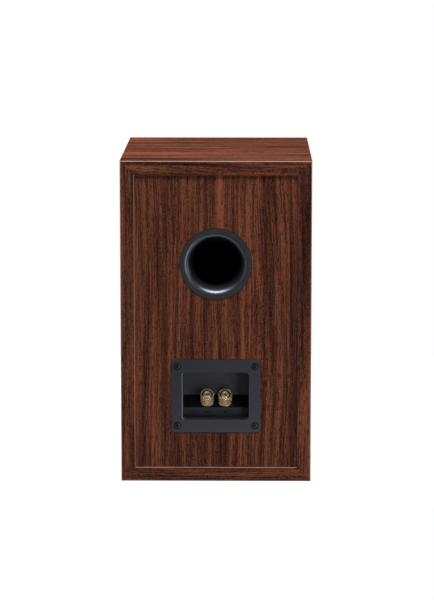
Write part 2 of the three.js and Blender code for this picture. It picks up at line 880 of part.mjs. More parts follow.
function wooferDriver() {
  const unit = new THREE.Group();
  unit.position.set(0, frontY, woofer.height);
  speaker.add(unit);
  const windingCentre = wooferTopPlateY + wooferPlateThickness / 2;
  add("woofer_basket", wooferBasket(), looks.blackSteel, unit);
  add("woofer_surround", wooferSurround(), looks.rubber, unit);
  add("woofer_cone", wooferCone(), looks.paper, unit);
  add("woofer_dust_cap", wooferDustCap(), looks.paper, unit);
  add("woofer_spider", wooferSpider(), looks.spiderCloth, unit);
  add(
    "woofer_voice_coil",
    voiceCoil(
      wooferCoilDiameter,
      wooferFormerThickness,
      wooferWindingThickness,
      coneNeckDepth,
      windingCentre - wooferWindingLength / 2,
      windingCentre + wooferWindingLength / 2,
    ),
    looks.copper,
    unit,
  );
  add(
    "woofer_top_plate",
    ring(wooferGapRadius, wooferPlateDiameter / 2, wooferTopPlateY, wooferTopPlateY + wooferPlateThickness),
    looks.zincSteel,
    unit,
  );
  add(
    "woofer_magnet",
    ring(
      wooferMagnetBore / 2,
      wooferMagnetDiameter / 2,
      wooferMagnetY,
      wooferMagnetY + wooferMagnetThickness,
    ),
    looks.ferrite,
    unit,
  );
  add("woofer_yoke", wooferYoke(), looks.zincSteel, unit);
  driverScrews("woofer", woofer);
}

function tweeterFaceplate() {
  const outline = [
    [tweeterThroatDiameter / 2, tweeter.flangeThickness],
    [tweeterThroatDiameter / 2, tweeter.flangeThickness - domeThickness],
    [tweeterMouthDiameter / 2, 0],
    [tweeter.flangeDiameter / 2, 0],
    [tweeter.flangeDiameter / 2, tweeter.flangeThickness],
  ];
  return withScrewHoles(turned(outline, fineSegments), tweeter);
}

const domeBaseY = tweeter.flangeThickness + clearance;
const tweeterPlateY = domeBaseY + domeThickness + clearance;
const tweeterMagnetY = tweeterPlateY + tweeterPlateThickness + clearance;
const tweeterBackY = tweeterMagnetY + tweeterMagnetThickness + clearance;

// The dome and its little roll are pressed from one piece of coated silk.
function tweeterDome() {
  const radius = domeDiameter / 2;
  const base = domeBaseY + domeThickness;
  const outside = domeArc(radius, domeBaseY, domeRise, domeSteps);
  const inside = domeArc(radius - domeThickness, domeBaseY, domeRise - domeThickness, domeSteps);
  const rollOuter = radius + 2 * domeRoll;
  const land = rollOuter + domeRoll;
  return turned([
    ...outside.reverse(),
    [radius + domeRoll, domeBaseY - domeRoll],
    [rollOuter, domeBaseY],
    [land, domeBaseY],
    [land, base],
    [radius - domeThickness, base],
    ...inside.slice(1),
  ]);
}

function tweeterYoke() {
  const pole = domeDiameter / 2 - tweeterFormerThickness - coilAirGap;
  const plate = tweeterPlateDiameter / 2;
  return turned([
    [0, tweeterPlateY],
    [pole, tweeterPlateY],
    [pole, tweeterBackY],
    [plate, tweeterBackY],
    [plate, tweeterBackY + tweeterPlateThickness],
    [0, tweeterBackY + tweeterPlateThickness],
  ]);
}

function tweeterDriver() {
  const unit = new THREE.Group();
  unit.position.set(0, frontY, tweeter.height);
  speaker.add(unit);
  const coilFrontY = domeBaseY + domeThickness + clearance;
  const gapRadius = domeDiameter / 2 + tweeterWindingThickness + coilAirGap;
  add("tweeter_faceplate", tweeterFaceplate(), looks.blackPlastic, unit);
  add("tweeter_dome", tweeterDome(), looks.silk, unit);
  add(
    "tweeter_voice_coil",
    voiceCoil(
      domeDiameter,
      tweeterFormerThickness,
      tweeterWindingThickness,
      coilFrontY,
      coilFrontY + coilAirGap,
      coilFrontY + tweeterCoilLength,
    ),
    looks.copper,
    unit,
  );
  add(
    "tweeter_top_plate",
    ring(gapRadius, tweeterPlateDiameter / 2, tweeterPlateY, tweeterPlateY + tweeterPlateThickness),
    looks.zincSteel,
    unit,
  );
  add(
    "tweeter_magnet",
    ring(
      tweeterMagnetBore / 2,
      tweeterMagnetDiameter / 2,
      tweeterMagnetY,
      tweeterMagnetY + tweeterMagnetThickness,
    ),
    looks.ferrite,
    unit,
  );
  add("tweeter_yoke", tweeterYoke(), looks.zincSteel, unit);
  driverScrews("tweeter", tweeter);
}

// ---------------------------------------------------------------- crossover

// A coil on a bobbin, standing on the crossover board.
function inductor({ x, y, diameter, bore, height, flange }) {
  const coil = diameter / 2 - inductorFlangeLip;
  const outline = [
    [bore / 2, 0],
    [diameter / 2, 0],
    [diameter / 2, flange],
    [coil, flange],
    [coil, height - flange],
    [diameter / 2, height - flange],
    [diameter / 2, height],
    [bore / 2, height],
  ];
  const coilBody = turned(outline, roundSegments).applyMatrix4(upright);
  return coilBody.translate(x, crossoverY + y, boardTop + clearance);
}

function capacitor() {
  const radius = capacitorDiameter / 2;
  const half = capacitorLength / 2;
  const outline = [
    [0, -half],
    [radius - capacitorEdge, -half],
    [radius, -half + capacitorEdge],
    [radius, half - capacitorEdge],
    [radius - capacitorEdge, half],
    [0, half],
  ];
  const body = turned(outline, smallSegments).rotateZ(-Math.PI / 2);
  return body.translate(capacitorPlace.x, crossoverY + capacitorPlace.y, boardTop + clearance + radius);
}

function crossover() {
  const board = rectangle(
    -boardWidth / 2,
    boardWidth / 2,
    crossoverY - boardLength / 2,
    crossoverY + boardLength / 2,
  );
  add("crossover_board", prismAlongZ(board, innerFloor + clearance, boardTop), looks.fibreboard);
  add("woofer_inductor", inductor(wooferInductor), looks.copper);
  add("tweeter_inductor", inductor(tweeterInductor), looks.copper);
  add("tweeter_capacitor", capacitor(), looks.film);
}

// ---------------------------------------------------------------- leads

// One conductor of a lead, from the crossover board through its points.
function conductor(points) {
  const section = new THREE.Shape();
  section.absarc(0, 0, cableDiameter / 2, 0, 2 * Math.PI, false);
  const path = new THREE.CatmullRomCurve3(points.map((point) => new THREE.Vector3(...point)));
  const steps = Math.ceil(path.getLength() / cableStep);
  const options = { steps, extrudePath: path, bevelEnabled: false, curveSegments: cableArcSteps };
  return new THREE.ExtrudeGeometry(section, options);
}

// Two conductors side by side that part only at the far end.
function lead(name, place, route) {
  const startZ = boardTop + clearance;
  const sides = [-1, 1].map((side) => {
    const x = place.x + (side * cableSpacing) / 2;
    const y = crossoverY + place.y;
    return conductor([[x, y, startZ], [x, y, startZ + cableBend], ...route(side)]);
  });
  add(name, join(sides), looks.cable);
}

function leads() {
  const halfSpacing = cableSpacing / 2;
  const tail = postBase.clone().addScaledVector(postAxis, -postTailLength - clearance);
  const tailBend = tail.clone().addScaledVector(postAxis, -cableBend);
  lead("input_lead", inputLeadPlace, (side) => [
    [(side * (halfSpacing + postPitch / 2)) / 2, tailBend.y - cableBend, tailBend.z - cableBend],
    [(side * postPitch) / 2, tailBend.y, tailBend.z],
    [(side * postPitch) / 2, tail.y, tail.z],
  ]);
  const basketBottom = woofer.height - wooferShelfDiameter / 2 - wooferSheet - clearance;
  const wooferEntryY = frontY + (wooferShelfDepth + wooferSeatDepth) / 2 + wooferSheet;
  lead("woofer_lead", wooferLeadPlace, (side) => [
    [side * halfSpacing, wooferEntryY, basketBottom - cableBend],
    [side * halfSpacing, wooferEntryY, basketBottom],
  ]);
  const behindMagnetY = frontY + wooferBackPlateY + wooferPlateThickness + tweeterLeadBehindMagnet;
  const tweeterBottom = tweeter.height - tweeterPlateDiameter / 2 - clearance;
  const tweeterEntryY = frontY + tweeterBackY + tweeterPlateThickness / 2;
  lead("tweeter_lead", tweeterLeadPlace, (side) => [
    [side * halfSpacing, behindMagnetY, woofer.height],
    [side * halfSpacing, behindMagnetY, woofer.height + wooferMagnetDiameter / 2],
    [side * halfSpacing, tweeterEntryY, tweeterBottom - 2 * cableBend],
    [side * halfSpacing, tweeterEntryY, tweeterBottom],
  ]);
}

// ---------------------------------------------------------------- grille

const grilleBackY = frontY - clearance;
const grilleFrontY = grilleBackY - grilleFrameThickness;
const wrap = clothThickness + clearance; // from the frame to the outside of the cloth

// The grille's outline, drawn in from its outside by a wall.
function grilleOutline(wall, radius) {
  const width = cabinetWidth - 2 * (grilleInset + wall);
  const height = cabinetHeight - 2 * (grilleInset + wall);
  return roundedRectangle(0, cabinetHeight / 2, width, height, radius);
}

function grilleFrame() {
  const outline = grilleOutline(wrap, grilleCornerRadius);
  const windowHeight = driverStack + 2 * grilleWindowMargin;
  const middle = cabinetHeight / 2;
  outline.holes.push(
    roundedRectangle(0, middle, grilleWindowWidth, windowHeight, grilleWindowRadius, THREE.Path),
  );
  const frame = prismAlongY(outline, grilleFrontY, grilleBackY);
  const pegs = pegPlaces().map(([x, z]) => {
    const peg = disc(pegDiameter / 2, grilleFrontY + cutPast, frontY + pegLength, smallSegments);
    return peg.translate(x, 0, z);
  });
  add("grille_frame", join([frame, ...pegs]), looks.blackPlastic);
}

// Cloth across the front of the frame and round its four edges.
function grilleCloth() {
  const outside = prismAlongY(
    grilleOutline(0, grilleCornerRadius + wrap),
    grilleFrontY - wrap,
    grilleBackY,
  );
  const inside = prismAlongY(
    grilleOutline(clothThickness, grilleCornerRadius + clearance),
    grilleFrontY - clearance,
    grilleBackY + cutPast,
  );
  add("grille_cloth", cut(outside, [inside]), looks.cloth);
}

function grilleSockets() {
  const bore = pegDiameter / 2 + clearance;
  pegPlaces().forEach(([x, z], i) => {
    const socket = turned([
      [bore, 0],
      [socketRadius, 0],
      [socketRadius, socketDepth],
      [0, socketDepth],
      [0, socketDepth - socketFloor],
      [bore, socketDepth - socketFloor],
    ], smallSegments);
    add(`grille_socket_${i + 1}`, socket.translate(x, frontY, z), looks.rubber);
  });
}

cabinetBoards();
frontBaffle();
rearPanel();
dampingLining();
portTube();
terminalCup();
bindingPosts();
wooferDriver();
tweeterDriver();
crossover();
leads();
grilleFrame();
grilleCloth();
grilleSockets();

export default speaker;
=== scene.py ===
"""A two-way bookshelf speaker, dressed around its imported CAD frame.

Metres, +Z up. The grille faces -Y and the terminals face +Y.
"""

import json
import math
from contextlib import contextmanager

import bmesh
import bpy
import numpy as np
from mathutils import Matrix, Vector


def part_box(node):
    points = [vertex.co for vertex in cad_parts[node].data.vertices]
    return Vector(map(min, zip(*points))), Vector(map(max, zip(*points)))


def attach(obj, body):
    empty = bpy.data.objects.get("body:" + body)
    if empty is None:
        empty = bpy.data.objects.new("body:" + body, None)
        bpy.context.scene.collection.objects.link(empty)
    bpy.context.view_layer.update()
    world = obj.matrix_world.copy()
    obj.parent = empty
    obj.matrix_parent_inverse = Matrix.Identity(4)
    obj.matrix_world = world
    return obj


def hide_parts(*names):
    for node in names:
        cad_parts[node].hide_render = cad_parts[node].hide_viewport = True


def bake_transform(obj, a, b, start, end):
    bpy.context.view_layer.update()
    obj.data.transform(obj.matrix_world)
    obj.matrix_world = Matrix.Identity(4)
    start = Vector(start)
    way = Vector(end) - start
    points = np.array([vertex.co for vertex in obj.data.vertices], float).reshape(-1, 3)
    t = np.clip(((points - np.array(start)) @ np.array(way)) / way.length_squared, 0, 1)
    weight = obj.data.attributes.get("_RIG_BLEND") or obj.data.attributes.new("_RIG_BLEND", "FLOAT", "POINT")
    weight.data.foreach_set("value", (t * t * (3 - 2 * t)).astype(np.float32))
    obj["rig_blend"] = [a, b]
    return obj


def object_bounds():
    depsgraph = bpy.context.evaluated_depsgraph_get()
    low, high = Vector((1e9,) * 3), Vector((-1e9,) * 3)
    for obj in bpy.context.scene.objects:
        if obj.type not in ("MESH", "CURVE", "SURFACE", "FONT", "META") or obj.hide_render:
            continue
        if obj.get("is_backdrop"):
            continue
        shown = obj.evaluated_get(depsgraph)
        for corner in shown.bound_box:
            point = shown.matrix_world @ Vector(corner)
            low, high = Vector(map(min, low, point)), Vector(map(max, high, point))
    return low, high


bl_info = {
    "name": "Bookshelf speaker",
    "version": (1, 0, 0),
    "blender": (4, 5, 0),
    "location": "3D View > Sidebar > Speaker",
    "description": "Models and finishes a small two-way bookshelf speaker around its CAD frame",
    "category": "Object",
}

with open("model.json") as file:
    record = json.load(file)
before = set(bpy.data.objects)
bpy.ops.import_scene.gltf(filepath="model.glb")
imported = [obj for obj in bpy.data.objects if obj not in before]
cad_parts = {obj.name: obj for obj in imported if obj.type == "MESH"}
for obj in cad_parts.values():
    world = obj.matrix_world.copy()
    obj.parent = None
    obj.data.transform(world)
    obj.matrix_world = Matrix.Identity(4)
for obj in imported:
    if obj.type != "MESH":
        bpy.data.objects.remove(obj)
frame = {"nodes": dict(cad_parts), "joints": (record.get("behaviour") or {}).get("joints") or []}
CAD_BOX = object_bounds()

MM = 0.001
FULL_TURN = 2 * math.pi
DOUBLES = 1e-6  # points closer than this are one point
CUT_PAST = 1  # mm that a cutting tool runs past the face it opens
GAP = 0.25  # mm between seated pieces in the CAD frame

X_AXIS = Vector((1, 0, 0))
Y_AXIS = Vector((0, 1, 0))
Z_AXIS = Vector((0, 0, 1))
HERE = Matrix.Identity(4)
LEAF_OFFSET = 127.0  # mm into the log where the veneer's leaves are sliced


# ------------------------------------------------------------------ places in the frame


def low(node):
    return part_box(node)[0]


def high(node):
    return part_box(node)[1]


def middle(node):
    return (low(node) + high(node)) / 2


def span(node):
    return high(node) - low(node)


def joint(name):
    return next(j for j in frame["joints"] if j["name"] == name)


# Turned pieces are drawn along +Z and then laid along their own axis.
ALONG_REAR = Matrix.Rotation(math.radians(-90), 4, "X")  # +Z becomes +Y
ALONG_FRONT = Matrix.Rotation(math.radians(90), 4, "X")  # +Z becomes -Y


def at(point, turn=HERE):
    return Matrix.Translation(point) @ turn


# ------------------------------------------------------------------ shader maths


class Value:
    """A number that changes over a surface, with arithmetic that adds its Math nodes."""

    def __init__(self, graph, socket):
        self.graph = graph
        self.socket = socket

    def __add__(self, other):
        return self.graph.math("ADD", self, other)

    __radd__ = __add__

    def __sub__(self, other):
        return self.graph.math("SUBTRACT", self, other)

    def __rsub__(self, other):
        return self.graph.math("SUBTRACT", other, self)

    def __mul__(self, other):
        return self.graph.math("MULTIPLY", self, other)

    __rmul__ = __mul__

    def __truediv__(self, other):
        return self.graph.math("DIVIDE", self, other)


class Graph:
    """A node tree while it is being made: its nodes and what they give."""

    def __init__(self, tree):
        self.nodes = tree.nodes
        self.links = tree.links

    def node(self, kind, settings=(), sockets=()):
        made = self.nodes.new(kind)
        for name, setting in dict(settings).items():
            if name == "stops":
                self.set_stops(made.color_ramp, setting)
            else:
                setattr(made, name, setting)
        for name, content in dict(sockets).items():
            source = content.socket if isinstance(content, Value) else content
            if isinstance(source, bpy.types.NodeSocket):
                self.links.new(source, made.inputs[name])
            else:
                made.inputs[name].default_value = source
        return made

    @staticmethod
    def set_stops(ramp, stops):
        while len(ramp.elements) < len(stops):
            ramp.elements.new(1)
        for element, (position, colour) in zip(ramp.elements, stops):
            element.position = position
            element.color = (*colour, 1)

    def math(self, operation, *numbers):
        made = self.node("ShaderNodeMath", {"operation": operation}, enumerate(numbers))
        return Value(self, made.outputs[0])

    def place(self, mapping=None):
        """The point on the piece, in millimetres, as three values."""
        source = self.node("ShaderNodeTexCoord").outputs["Object" if mapping is None else mapping]
        apart = self.node("ShaderNodeSeparateXYZ", (), {0: source})
        return [Value(self, out) / MM for out in apart.outputs]

    def point(self, x, y, z):
        return self.node("ShaderNodeCombineXYZ", (), {0: x, 1: y, 2: z}).outputs[0]

    def noise(self, x, y, z, detail=1.0, roughness=0.5, distortion=0.0):
        sockets = {
            "Vector": self.point(x, y, z),
            "Scale": 1,
            "Detail": detail,
            "Roughness": roughness,
            "Distortion": distortion,
        }
        return Value(self, self.node("ShaderNodeTexNoise", (), sockets).outputs[0])

    def speckle(self, scale, **settings):
        """Noise of one fineness every way over the piece."""
        return self.noise(*(axis * scale for axis in self.place()), **settings)

    def step(self, value, start, end):
        """0 before start, 1 after end, and a smooth rise between them."""
        sockets = {0: value, 1: start, 2: end, 3: 0.0, 4: 1.0}
        settings = {"interpolation_type": "SMOOTHSTEP"}
        return Value(self, self.node("ShaderNodeMapRange", settings, sockets).outputs[0])

    def colours(self, value, stops):
        return self.node("ShaderNodeValToRGB", {"stops": stops}, {0: value}).outputs[0]

    def mix(self, factor, first, second):
        settings = {"data_type": "RGBA", "blend_type": "MIX"}
        colours = [(*c, 1) if isinstance(c, tuple) else c for c in (first, second)]
        made = self.node("ShaderNodeMix", settings, {0: factor, 6: colours[0], 7: colours[1]})
        return made.outputs[2]

    def bump(self, height, depth):
        """Relief as deep as depth, in millimetres, where height goes from 0 to 1."""
        sockets = {"Height": height, "Strength": 1, "Distance": depth * MM}
        return self.node("ShaderNodeBump", (), sockets).outputs[0]


class Finish(Graph):
    """A material built round one Principled shader."""

    def __init__(self, name, **constants):
        self.material = bpy.data.materials.new(name)
        self.material.use_nodes = True
        super().__init__(self.material.node_tree)
        self.shader = next(n for n in self.nodes if n.type == "BSDF_PRINCIPLED")
        for socket, constant in constants.items():
            self.shader.inputs[socket.replace("_", " ")].default_value = constant

    def done(self, **sockets):
        for name, content in sockets.items():
            source = content.socket if isinstance(content, Value) else content
            self.links.new(source, self.shader.inputs[name.replace("_", " ")])
        return self.material


def tint(red, green, blue):
    """A colour written in 8-bit display values, as linear light."""

    def linear(value):
        value /= 255
        return value / 12.92 if value <= 0.04045 else ((value + 0.055) / 1.055) ** 2.4

    return linear(red), linear(green), linear(blue)


# ------------------------------------------------------------------ finishes

COOL_GLOSS = (0.82, 0.85, 1.0, 1.0)  # tint of the black plastics' reflections


def shaded(colour, factor):
    """A colour made lighter or darker."""
    return tuple(min(1.0, part * factor) for part in colour)


def veneer(name, grain, edge=False):
    """Oiled walnut veneer whose grain runs along X or Z; its edge finish is lighter, partly rubbed wear and
    partly a painted highlight.
    """
    look = bpy.context.scene.speaker_cabinet
    wood = Finish(name, Specular_IOR_Level=0.0, Coat_Roughness=0.35, Coat_Weight=0.03)
    x, y, z = wood.place()
    run, side = (x, z) if grain == "X" else (z, x)
    layer = y + LEAF_OFFSET

    def figure(across, per_mm, along_mm, shift=0, **settings):
        return wood.noise(across * per_mm + shift, layer * per_mm, run * along_mm, **settings)

    drift = figure(side, 0.012, 0.0028) - 0.5
    wander = figure(side, 0.06, 0.014, detail=2) - 0.5
    across = side + drift * 24 + wander * 3
    band = figure(across, 0.07, 0.0026)
    ring = figure(across, 0.16, 0.004, detail=2, roughness=0.6)
    fibre = figure(across, 0.95, 0.018, detail=2, roughness=0.7)
    fleck = figure(across, 1.1, 0.5, 91, detail=2, roughness=0.7)
    dark_pore = wood.step(figure(across, 1.1, 0.12, 57, detail=1), 0.52, 0.68)
    tone = (band - 0.5) * look.band_contrast + (ring - 0.5) * look.ring_contrast
    tone = tone + (fibre - 0.5) * look.fibre_contrast + (fleck - 0.5) * look.fleck_contrast
    tone = tone + 0.57 - dark_pore * look.pore_depth
    dark, middling, light = look.dark_colour, look.middle_colour, look.light_colour
    colour = wood.colours(tone, [(0.08, dark), (0.5, middling), (0.92, light)])
    # The edge finish mixes in a lighter colour: partly rubbed wear, partly a painted highlight on the
    # rounded edges.
    if edge:
        wood.shader.inputs["Coat Weight"].default_value = 0.6
        return wood.done(Base_Color=wood.mix(0.6, colour, tuple(look.edge_colour)))
    return wood.done(
        Base_Color=colour,
        Roughness=0.5 + (fibre - 0.5) * 0.3,
        Normal=wood.bump(fibre * 0.5 + fleck * 0.4 - dark_pore * 0.6, 0.1),
    )


def moulded(name, colour, grain=0.06, roughness=0.45, level=0.5, tone=0.25, uneven=0.25, **more):
    """Moulded plastic or paint with a fine spark-eroded texture."""
    plastic = Finish(name, Specular_IOR_Level=level, **more)
    fine = plastic.speckle(1.3, detail=2, roughness=0.7)
    cloud = plastic.speckle(0.035)
    shade = plastic.step(fine * 0.7 + cloud * 0.3, 0.3, 0.7)
    return plastic.done(
        Base_Color=plastic.mix(shade, shaded(colour, 1 - tone), shaded(colour, 1 + tone)),
        Roughness=(fine - 0.5) * uneven + roughness,
        Normal=plastic.bump(fine, grain),
    )


def black_plastic(name):
    look = bpy.context.scene.speaker_terminals
    gloss = look.plastic_gloss
    return moulded(name, look.plastic_colour, level=gloss, Specular_Tint=COOL_GLOSS)


def port_plastic(name):
    look = bpy.context.scene.speaker_port
    gloss = {"roughness": look.roughness, "level": 1.0, "uneven": 0.02, "IOR": 1.62}
    return moulded(name, look.colour, grain=0.001, Specular_Tint=COOL_GLOSS, **gloss)


def metal(name, colour, roughness, streak, relief=0.004, metallic=1.0):
    """Plated or bare metal with turning marks and a slightly uneven polish."""
    plate = Finish(name, Metallic=metallic)
    cloud = plate.speckle(0.4, detail=2)
    marks = plate.speckle(6)
    return plate.done(
        Base_Color=plate.mix(plate.step(cloud, 0.3, 0.7), shaded(colour, 1 - streak), colour),
        Roughness=(marks - 0.5) * 0.12 + roughness,
        Normal=plate.bump(marks, relief),
    )


def gold_plate(name):
    look = bpy.context.scene.speaker_terminals
    return metal(name, tuple(look.gold_colour), look.gold_roughness, 0.1, metallic=0.5)


def clear_plastic(name):
    """Clear plastic with a warm haze and a few moulding streaks."""
    look = bpy.context.scene.speaker_terminals
    clear = Finish(name, Transmission_Weight=1 - look.clear_haze, IOR=1.49)
    streak = clear.speckle(0.5)
    deep = tuple(look.clear_colour)
    return clear.done(
        Base_Color=clear.mix(streak, deep, shaded(deep, 1.06)),
        Roughness=(streak - 0.5) * 0.04 + 0.05,
        Normal=clear.bump(streak, 0.01),
    )


def cone_paper(name):
    """Pressed paper pulp: short fibres lying every way, with a thin black coat."""
    pulp = Finish(name, Specular_IOR_Level=0.3)
    x, y, z = pulp.place()
    first = pulp.noise(x * 1.6, y * 1.6, z * 0.35, detail=2, distortion=0.8)
    second = pulp.noise(x * 0.35, y * 1.6, z * 1.6, detail=2, distortion=0.8)
    fibres = pulp.step(first, 0.55, 0.72) + pulp.step(second, 0.55, 0.72)
    return pulp.done(
        Base_Color=pulp.mix(fibres * 0.5, tint(30, 30, 32), tint(64, 63, 64)),
        Roughness=0.62 - fibres * 0.1,
        Normal=pulp.bump(fibres, 0.08),
    )


def woven(name, dark, light, pitch, relief, roughness=0.9, sheen=0.15):
    """Plain weave over the piece's own flat map, which is in metres."""
    cloth = Finish(name, Specular_IOR_Level=0.2, Sheen_Weight=sheen, Sheen_Roughness=0.5)
    u, v, _ = cloth.place("UV")
    u = u + (cloth.noise(u * 0.08, v * 0.08, 3) - 0.5) * 0.6
    v = v + (cloth.noise(u * 0.08, v * 0.08, 9) - 0.5) * 0.6
    half = math.pi / pitch
    warp = cloth.math("SINE", u * half)
    weft = cloth.math("SINE", v * half)
    over = cloth.math("ABSOLUTE", warp) * cloth.math("ABSOLUTE", weft)
    parity = cloth.step(warp * weft, -0.15, 0.15)
    slub = cloth.noise(u * 0.7, v * 0.12, 5, detail=2) * parity
    slub = slub + cloth.noise(u * 0.12, v * 0.7, 7, detail=2) * (1 - parity)
    height = over * 0.75 + parity * 0.2
    shade = height * 0.55 + slub * 0.45
    return cloth.done(
        Base_Color=cloth.colours(shade, [(0.15, dark), (0.8, light)]),
        Roughness=roughness - over * 0.15,
        Normal=cloth.bump(height, relief),
    )


def grille_weave(name):
    look = bpy.context.scene.speaker_grille
    light = tuple(look.cloth_colour)
    return woven(name, shaded(light, 0.25), light, look.thread_pitch / MM, 0.25)


def wadding(name):
    """Loose polyester wadding: matted fibres with soft hollows."""
    fluff = Finish(name, Specular_IOR_Level=0.1, Sheen_Weight=0.4, Sheen_Roughness=0.6)
    strand = fluff.speckle(0.6, detail=4, roughness=0.7, distortion=1.5)
    shade = strand * 0.6 + fluff.speckle(0.09, detail=2) * 0.4
    return fluff.done(
        Base_Color=fluff.colours(shade, [(0.3, tint(150, 148, 140)), (0.7, tint(226, 224, 216))]),
        Roughness=0.95 - strand * 0.1,
        Normal=fluff.bump(shade, 1.2),
    )


def circuit_board(name):
    """Tempered hardboard with its pressed fibres, as crossovers are mounted on."""
    board = Finish(name, Specular_IOR_Level=0.25)
    chip = board.speckle(0.8, detail=3, roughness=0.7)
    shade = chip * 0.7 + board.speckle(0.06) * 0.3
    return board.done(
        Base_Color=board.colours(shade, [(0.3, tint(92, 62, 38)), (0.7, tint(150, 108, 70))]),
        Roughness=0.7 - chip * 0.15,
        Normal=board.bump(chip, 0.08),
    )


def mottled(name, dim, bright, scale, detail, edges, roughness, relief, **constants):
    """Two near colours in soft patches, as on enamelled wire, tape and cable."""
    skin = Finish(name, **constants)
    patch = skin.noise(*(axis * s for axis, s in zip(skin.place(), scale)), detail=detail)
    return skin.done(
        Base_Color=skin.mix(skin.step(patch, *edges), dim, bright),
        Roughness=(patch - 0.5) * 0.2 + roughness,
        Normal=skin.bump(patch, relief),
    )


def moulding(red, green, blue, grain, roughness, level, tone=0.25):
    colour = tint(red, green, blue)
    return moulded, dict(colour=colour, grain=grain, roughness=roughness, level=level, tone=tone)


def weave(dark, light, pitch, relief, **more):
    return woven, dict(dark=tint(*dark), light=tint(*light), pitch=pitch, relief=relief, **more)


def mottle(bright, dim, scale, **more):
    return mottled, dict(bright=tint(*bright), dim=dim, scale=scale, **more)


# Every finish: the function that makes it, and what that is given besides the name.
FINISHES = {
    "veneer_upright": (veneer, dict(grain="Z")),
    "veneer_level": (veneer, dict(grain="X")),
    "veneer_upright_edge": (veneer, dict(grain="Z", edge=True)),
    "veneer_level_edge": (veneer, dict(grain="X", edge=True)),
    "black_plastic": (black_plastic, {}),
    "shaded_plastic": moulding(30, 30, 36, 0.06, 0.9, 0.0),  # painted shade: a dull, non-reflecting finish for the cup's recesses and the posts' grooves
    "port_plastic": (port_plastic, {}),
    "port_bore": moulding(7, 7, 8, 0.03, 0.9, 0.0),  # painted shade: a darker, dull finish down the tube past its glossy mouth
    "baffle_paint": moulding(30, 30, 32, 0.1, 0.6, 0.3),
    "bobbin_plastic": moulding(34, 34, 36, 0.03, 0.5, 0.5),
    "socket_rubber": moulding(20, 20, 21, 0.05, 0.75, 0.2),
    "frame_plastic": moulding(24, 24, 26, 0.08, 0.6, 0.3),
    "red_plastic": moulding(222, 48, 30, 0.01, 0.3, 0.5, 0.08),
    "ring_black": moulding(26, 24, 24, 0.01, 0.3, 0.5),
    "gold_plate": (gold_plate, {}),
    "black_steel": moulding(22, 22, 25, 0.01, 0.3, 0.5),
    "basket_steel": moulding(32, 33, 36, 0.04, 0.4, 0.5),
    "zinc_steel": (
        metal,
        dict(colour=tint(190, 192, 196), roughness=0.34, streak=0.15, relief=0.01),
    ),
    "copper_wire": mottle(
        (205, 110, 66), tint(150, 70, 40), (0.3, 0.3, 0.3), detail=2, edges=(0.35, 0.65),
        roughness=0.32, relief=0.02, Metallic=1.0, Coat_Weight=0.4, Coat_Roughness=0.2,
    ),
    "clear_plastic": (clear_plastic, {}),
    "ferrite": moulding(58, 58, 62, 0.12, 0.7, 0.35, 0.18),
    "rubber": moulding(24, 24, 25, 0.015, 0.55, 0.3, 0.12),  # butyl, with a faint bloom
    "cone_paper": (cone_paper, {}),
    "grille_weave": (grille_weave, {}),
    "spider_cloth": weave((120, 78, 32), (196, 146, 82), 0.9, 0.15, sheen=0.0),
    "dome_silk": weave((18, 18, 21), (46, 46, 52), 0.3, 0.03, roughness=0.6),
    "wadding": (wadding, {}),
    "circuit_board": (circuit_board, {}),
    "capacitor_film": mottle(
        (226, 186, 76), tint(196, 146, 34), (0.08, 0.9, 0.9), detail=2, edges=(0.35, 0.65),
        roughness=0.35, relief=0.03, Coat_Weight=0.5, Coat_Roughness=0.15,
    ),
    "cable_red": mottle(
        (150, 32, 28), shaded(tint(150, 32, 28), 0.7), (0.5, 0.5, 0.5), detail=3,
        edges=(0.3, 0.7), roughness=0.42, relief=0.03, Specular_IOR_Level=0.4,
    ),
}
made_finishes = {}


def finish(name):
    """The material of that name, made when it is first asked for."""
    if name not in made_finishes:
        make, facts = FINISHES[name]
        made_finishes[name] = make(f"speaker_{name}", **facts)
    return made_finishes[name]


# ------------------------------------------------------------------ modelling by hand


def only(piece):
    """Makes piece the one selected and active object."""
    bpy.ops.object.select_all(action="DESELECT")
    piece.select_set(True)
    bpy.context.view_layer.objects.active = piece
    return piece


@contextmanager
def editing(piece):
    only(piece)
    bpy.ops.object.mode_set(mode="EDIT")
    bpy.ops.mesh.select_mode(type="VERT")
    bpy.ops.mesh.select_all(action="DESELECT")
    try:
        yield
    finally:
        bpy.ops.object.mode_set(mode="OBJECT")


def select(piece, element, test):
    """In edit mode, selects the VERTs, EDGEs or FACEs that pass the test."""
    bpy.ops.mesh.select_mode(type=element)
    bpy.ops.mesh.select_all(action="DESELECT")
    mesh = bmesh.from_edit_mesh(piece.data)
    items = {"VERT": mesh.verts, "EDGE": mesh.edges, "FACE": mesh.faces}[element]
    chosen = [item for item in items if test(item)]
    if not chosen:
        raise RuntimeError(f"{piece.name}: nothing there to select")
    for item in chosen:
        item.select_set(True)
    mesh.select_flush_mode()
    bmesh.update_edit_mesh(piece.data)


def bevel(piece, test, width, segments=3, material=-1):
    """Rounds the edges that pass the test, by a width in millimetres."""
    with editing(piece):
        select(piece, "EDGE", test)
        bpy.ops.mesh.bevel(
            offset=width * MM, segments=segments, profile=0.5, affect="EDGES", material=material
        )


def along(edge, axis):
    """Whether an edge runs along an axis."""
    way = edge.verts[1].co - edge.verts[0].co
    return way.length > 0 and abs(way.normalized().dot(axis)) > 0.999


def centre(edge):
    return (edge.verts[0].co + edge.verts[1].co) / 2


def near(value, target, slack=0.02):
    """Whether two lengths in metres agree within a slack in millimetres."""
    return abs(value - target) < slack * MM


def with_modifier(piece, kind, **settings):
    """Adds a modifier and works it into the mesh."""
    only(piece)
    added = piece.modifiers.new(kind.lower(), kind)
    for name, setting in settings.items():
        setattr(added, name, setting)
    bpy.ops.object.modifier_apply(modifier=added.name)
    return piece


def settled(name):
    """Names the new active object and works its place into its mesh."""
    piece = bpy.context.object
    piece.name = name
    piece.data.name = name
    bpy.ops.object.transform_apply(location=True, rotation=True, scale=True)
    return piece


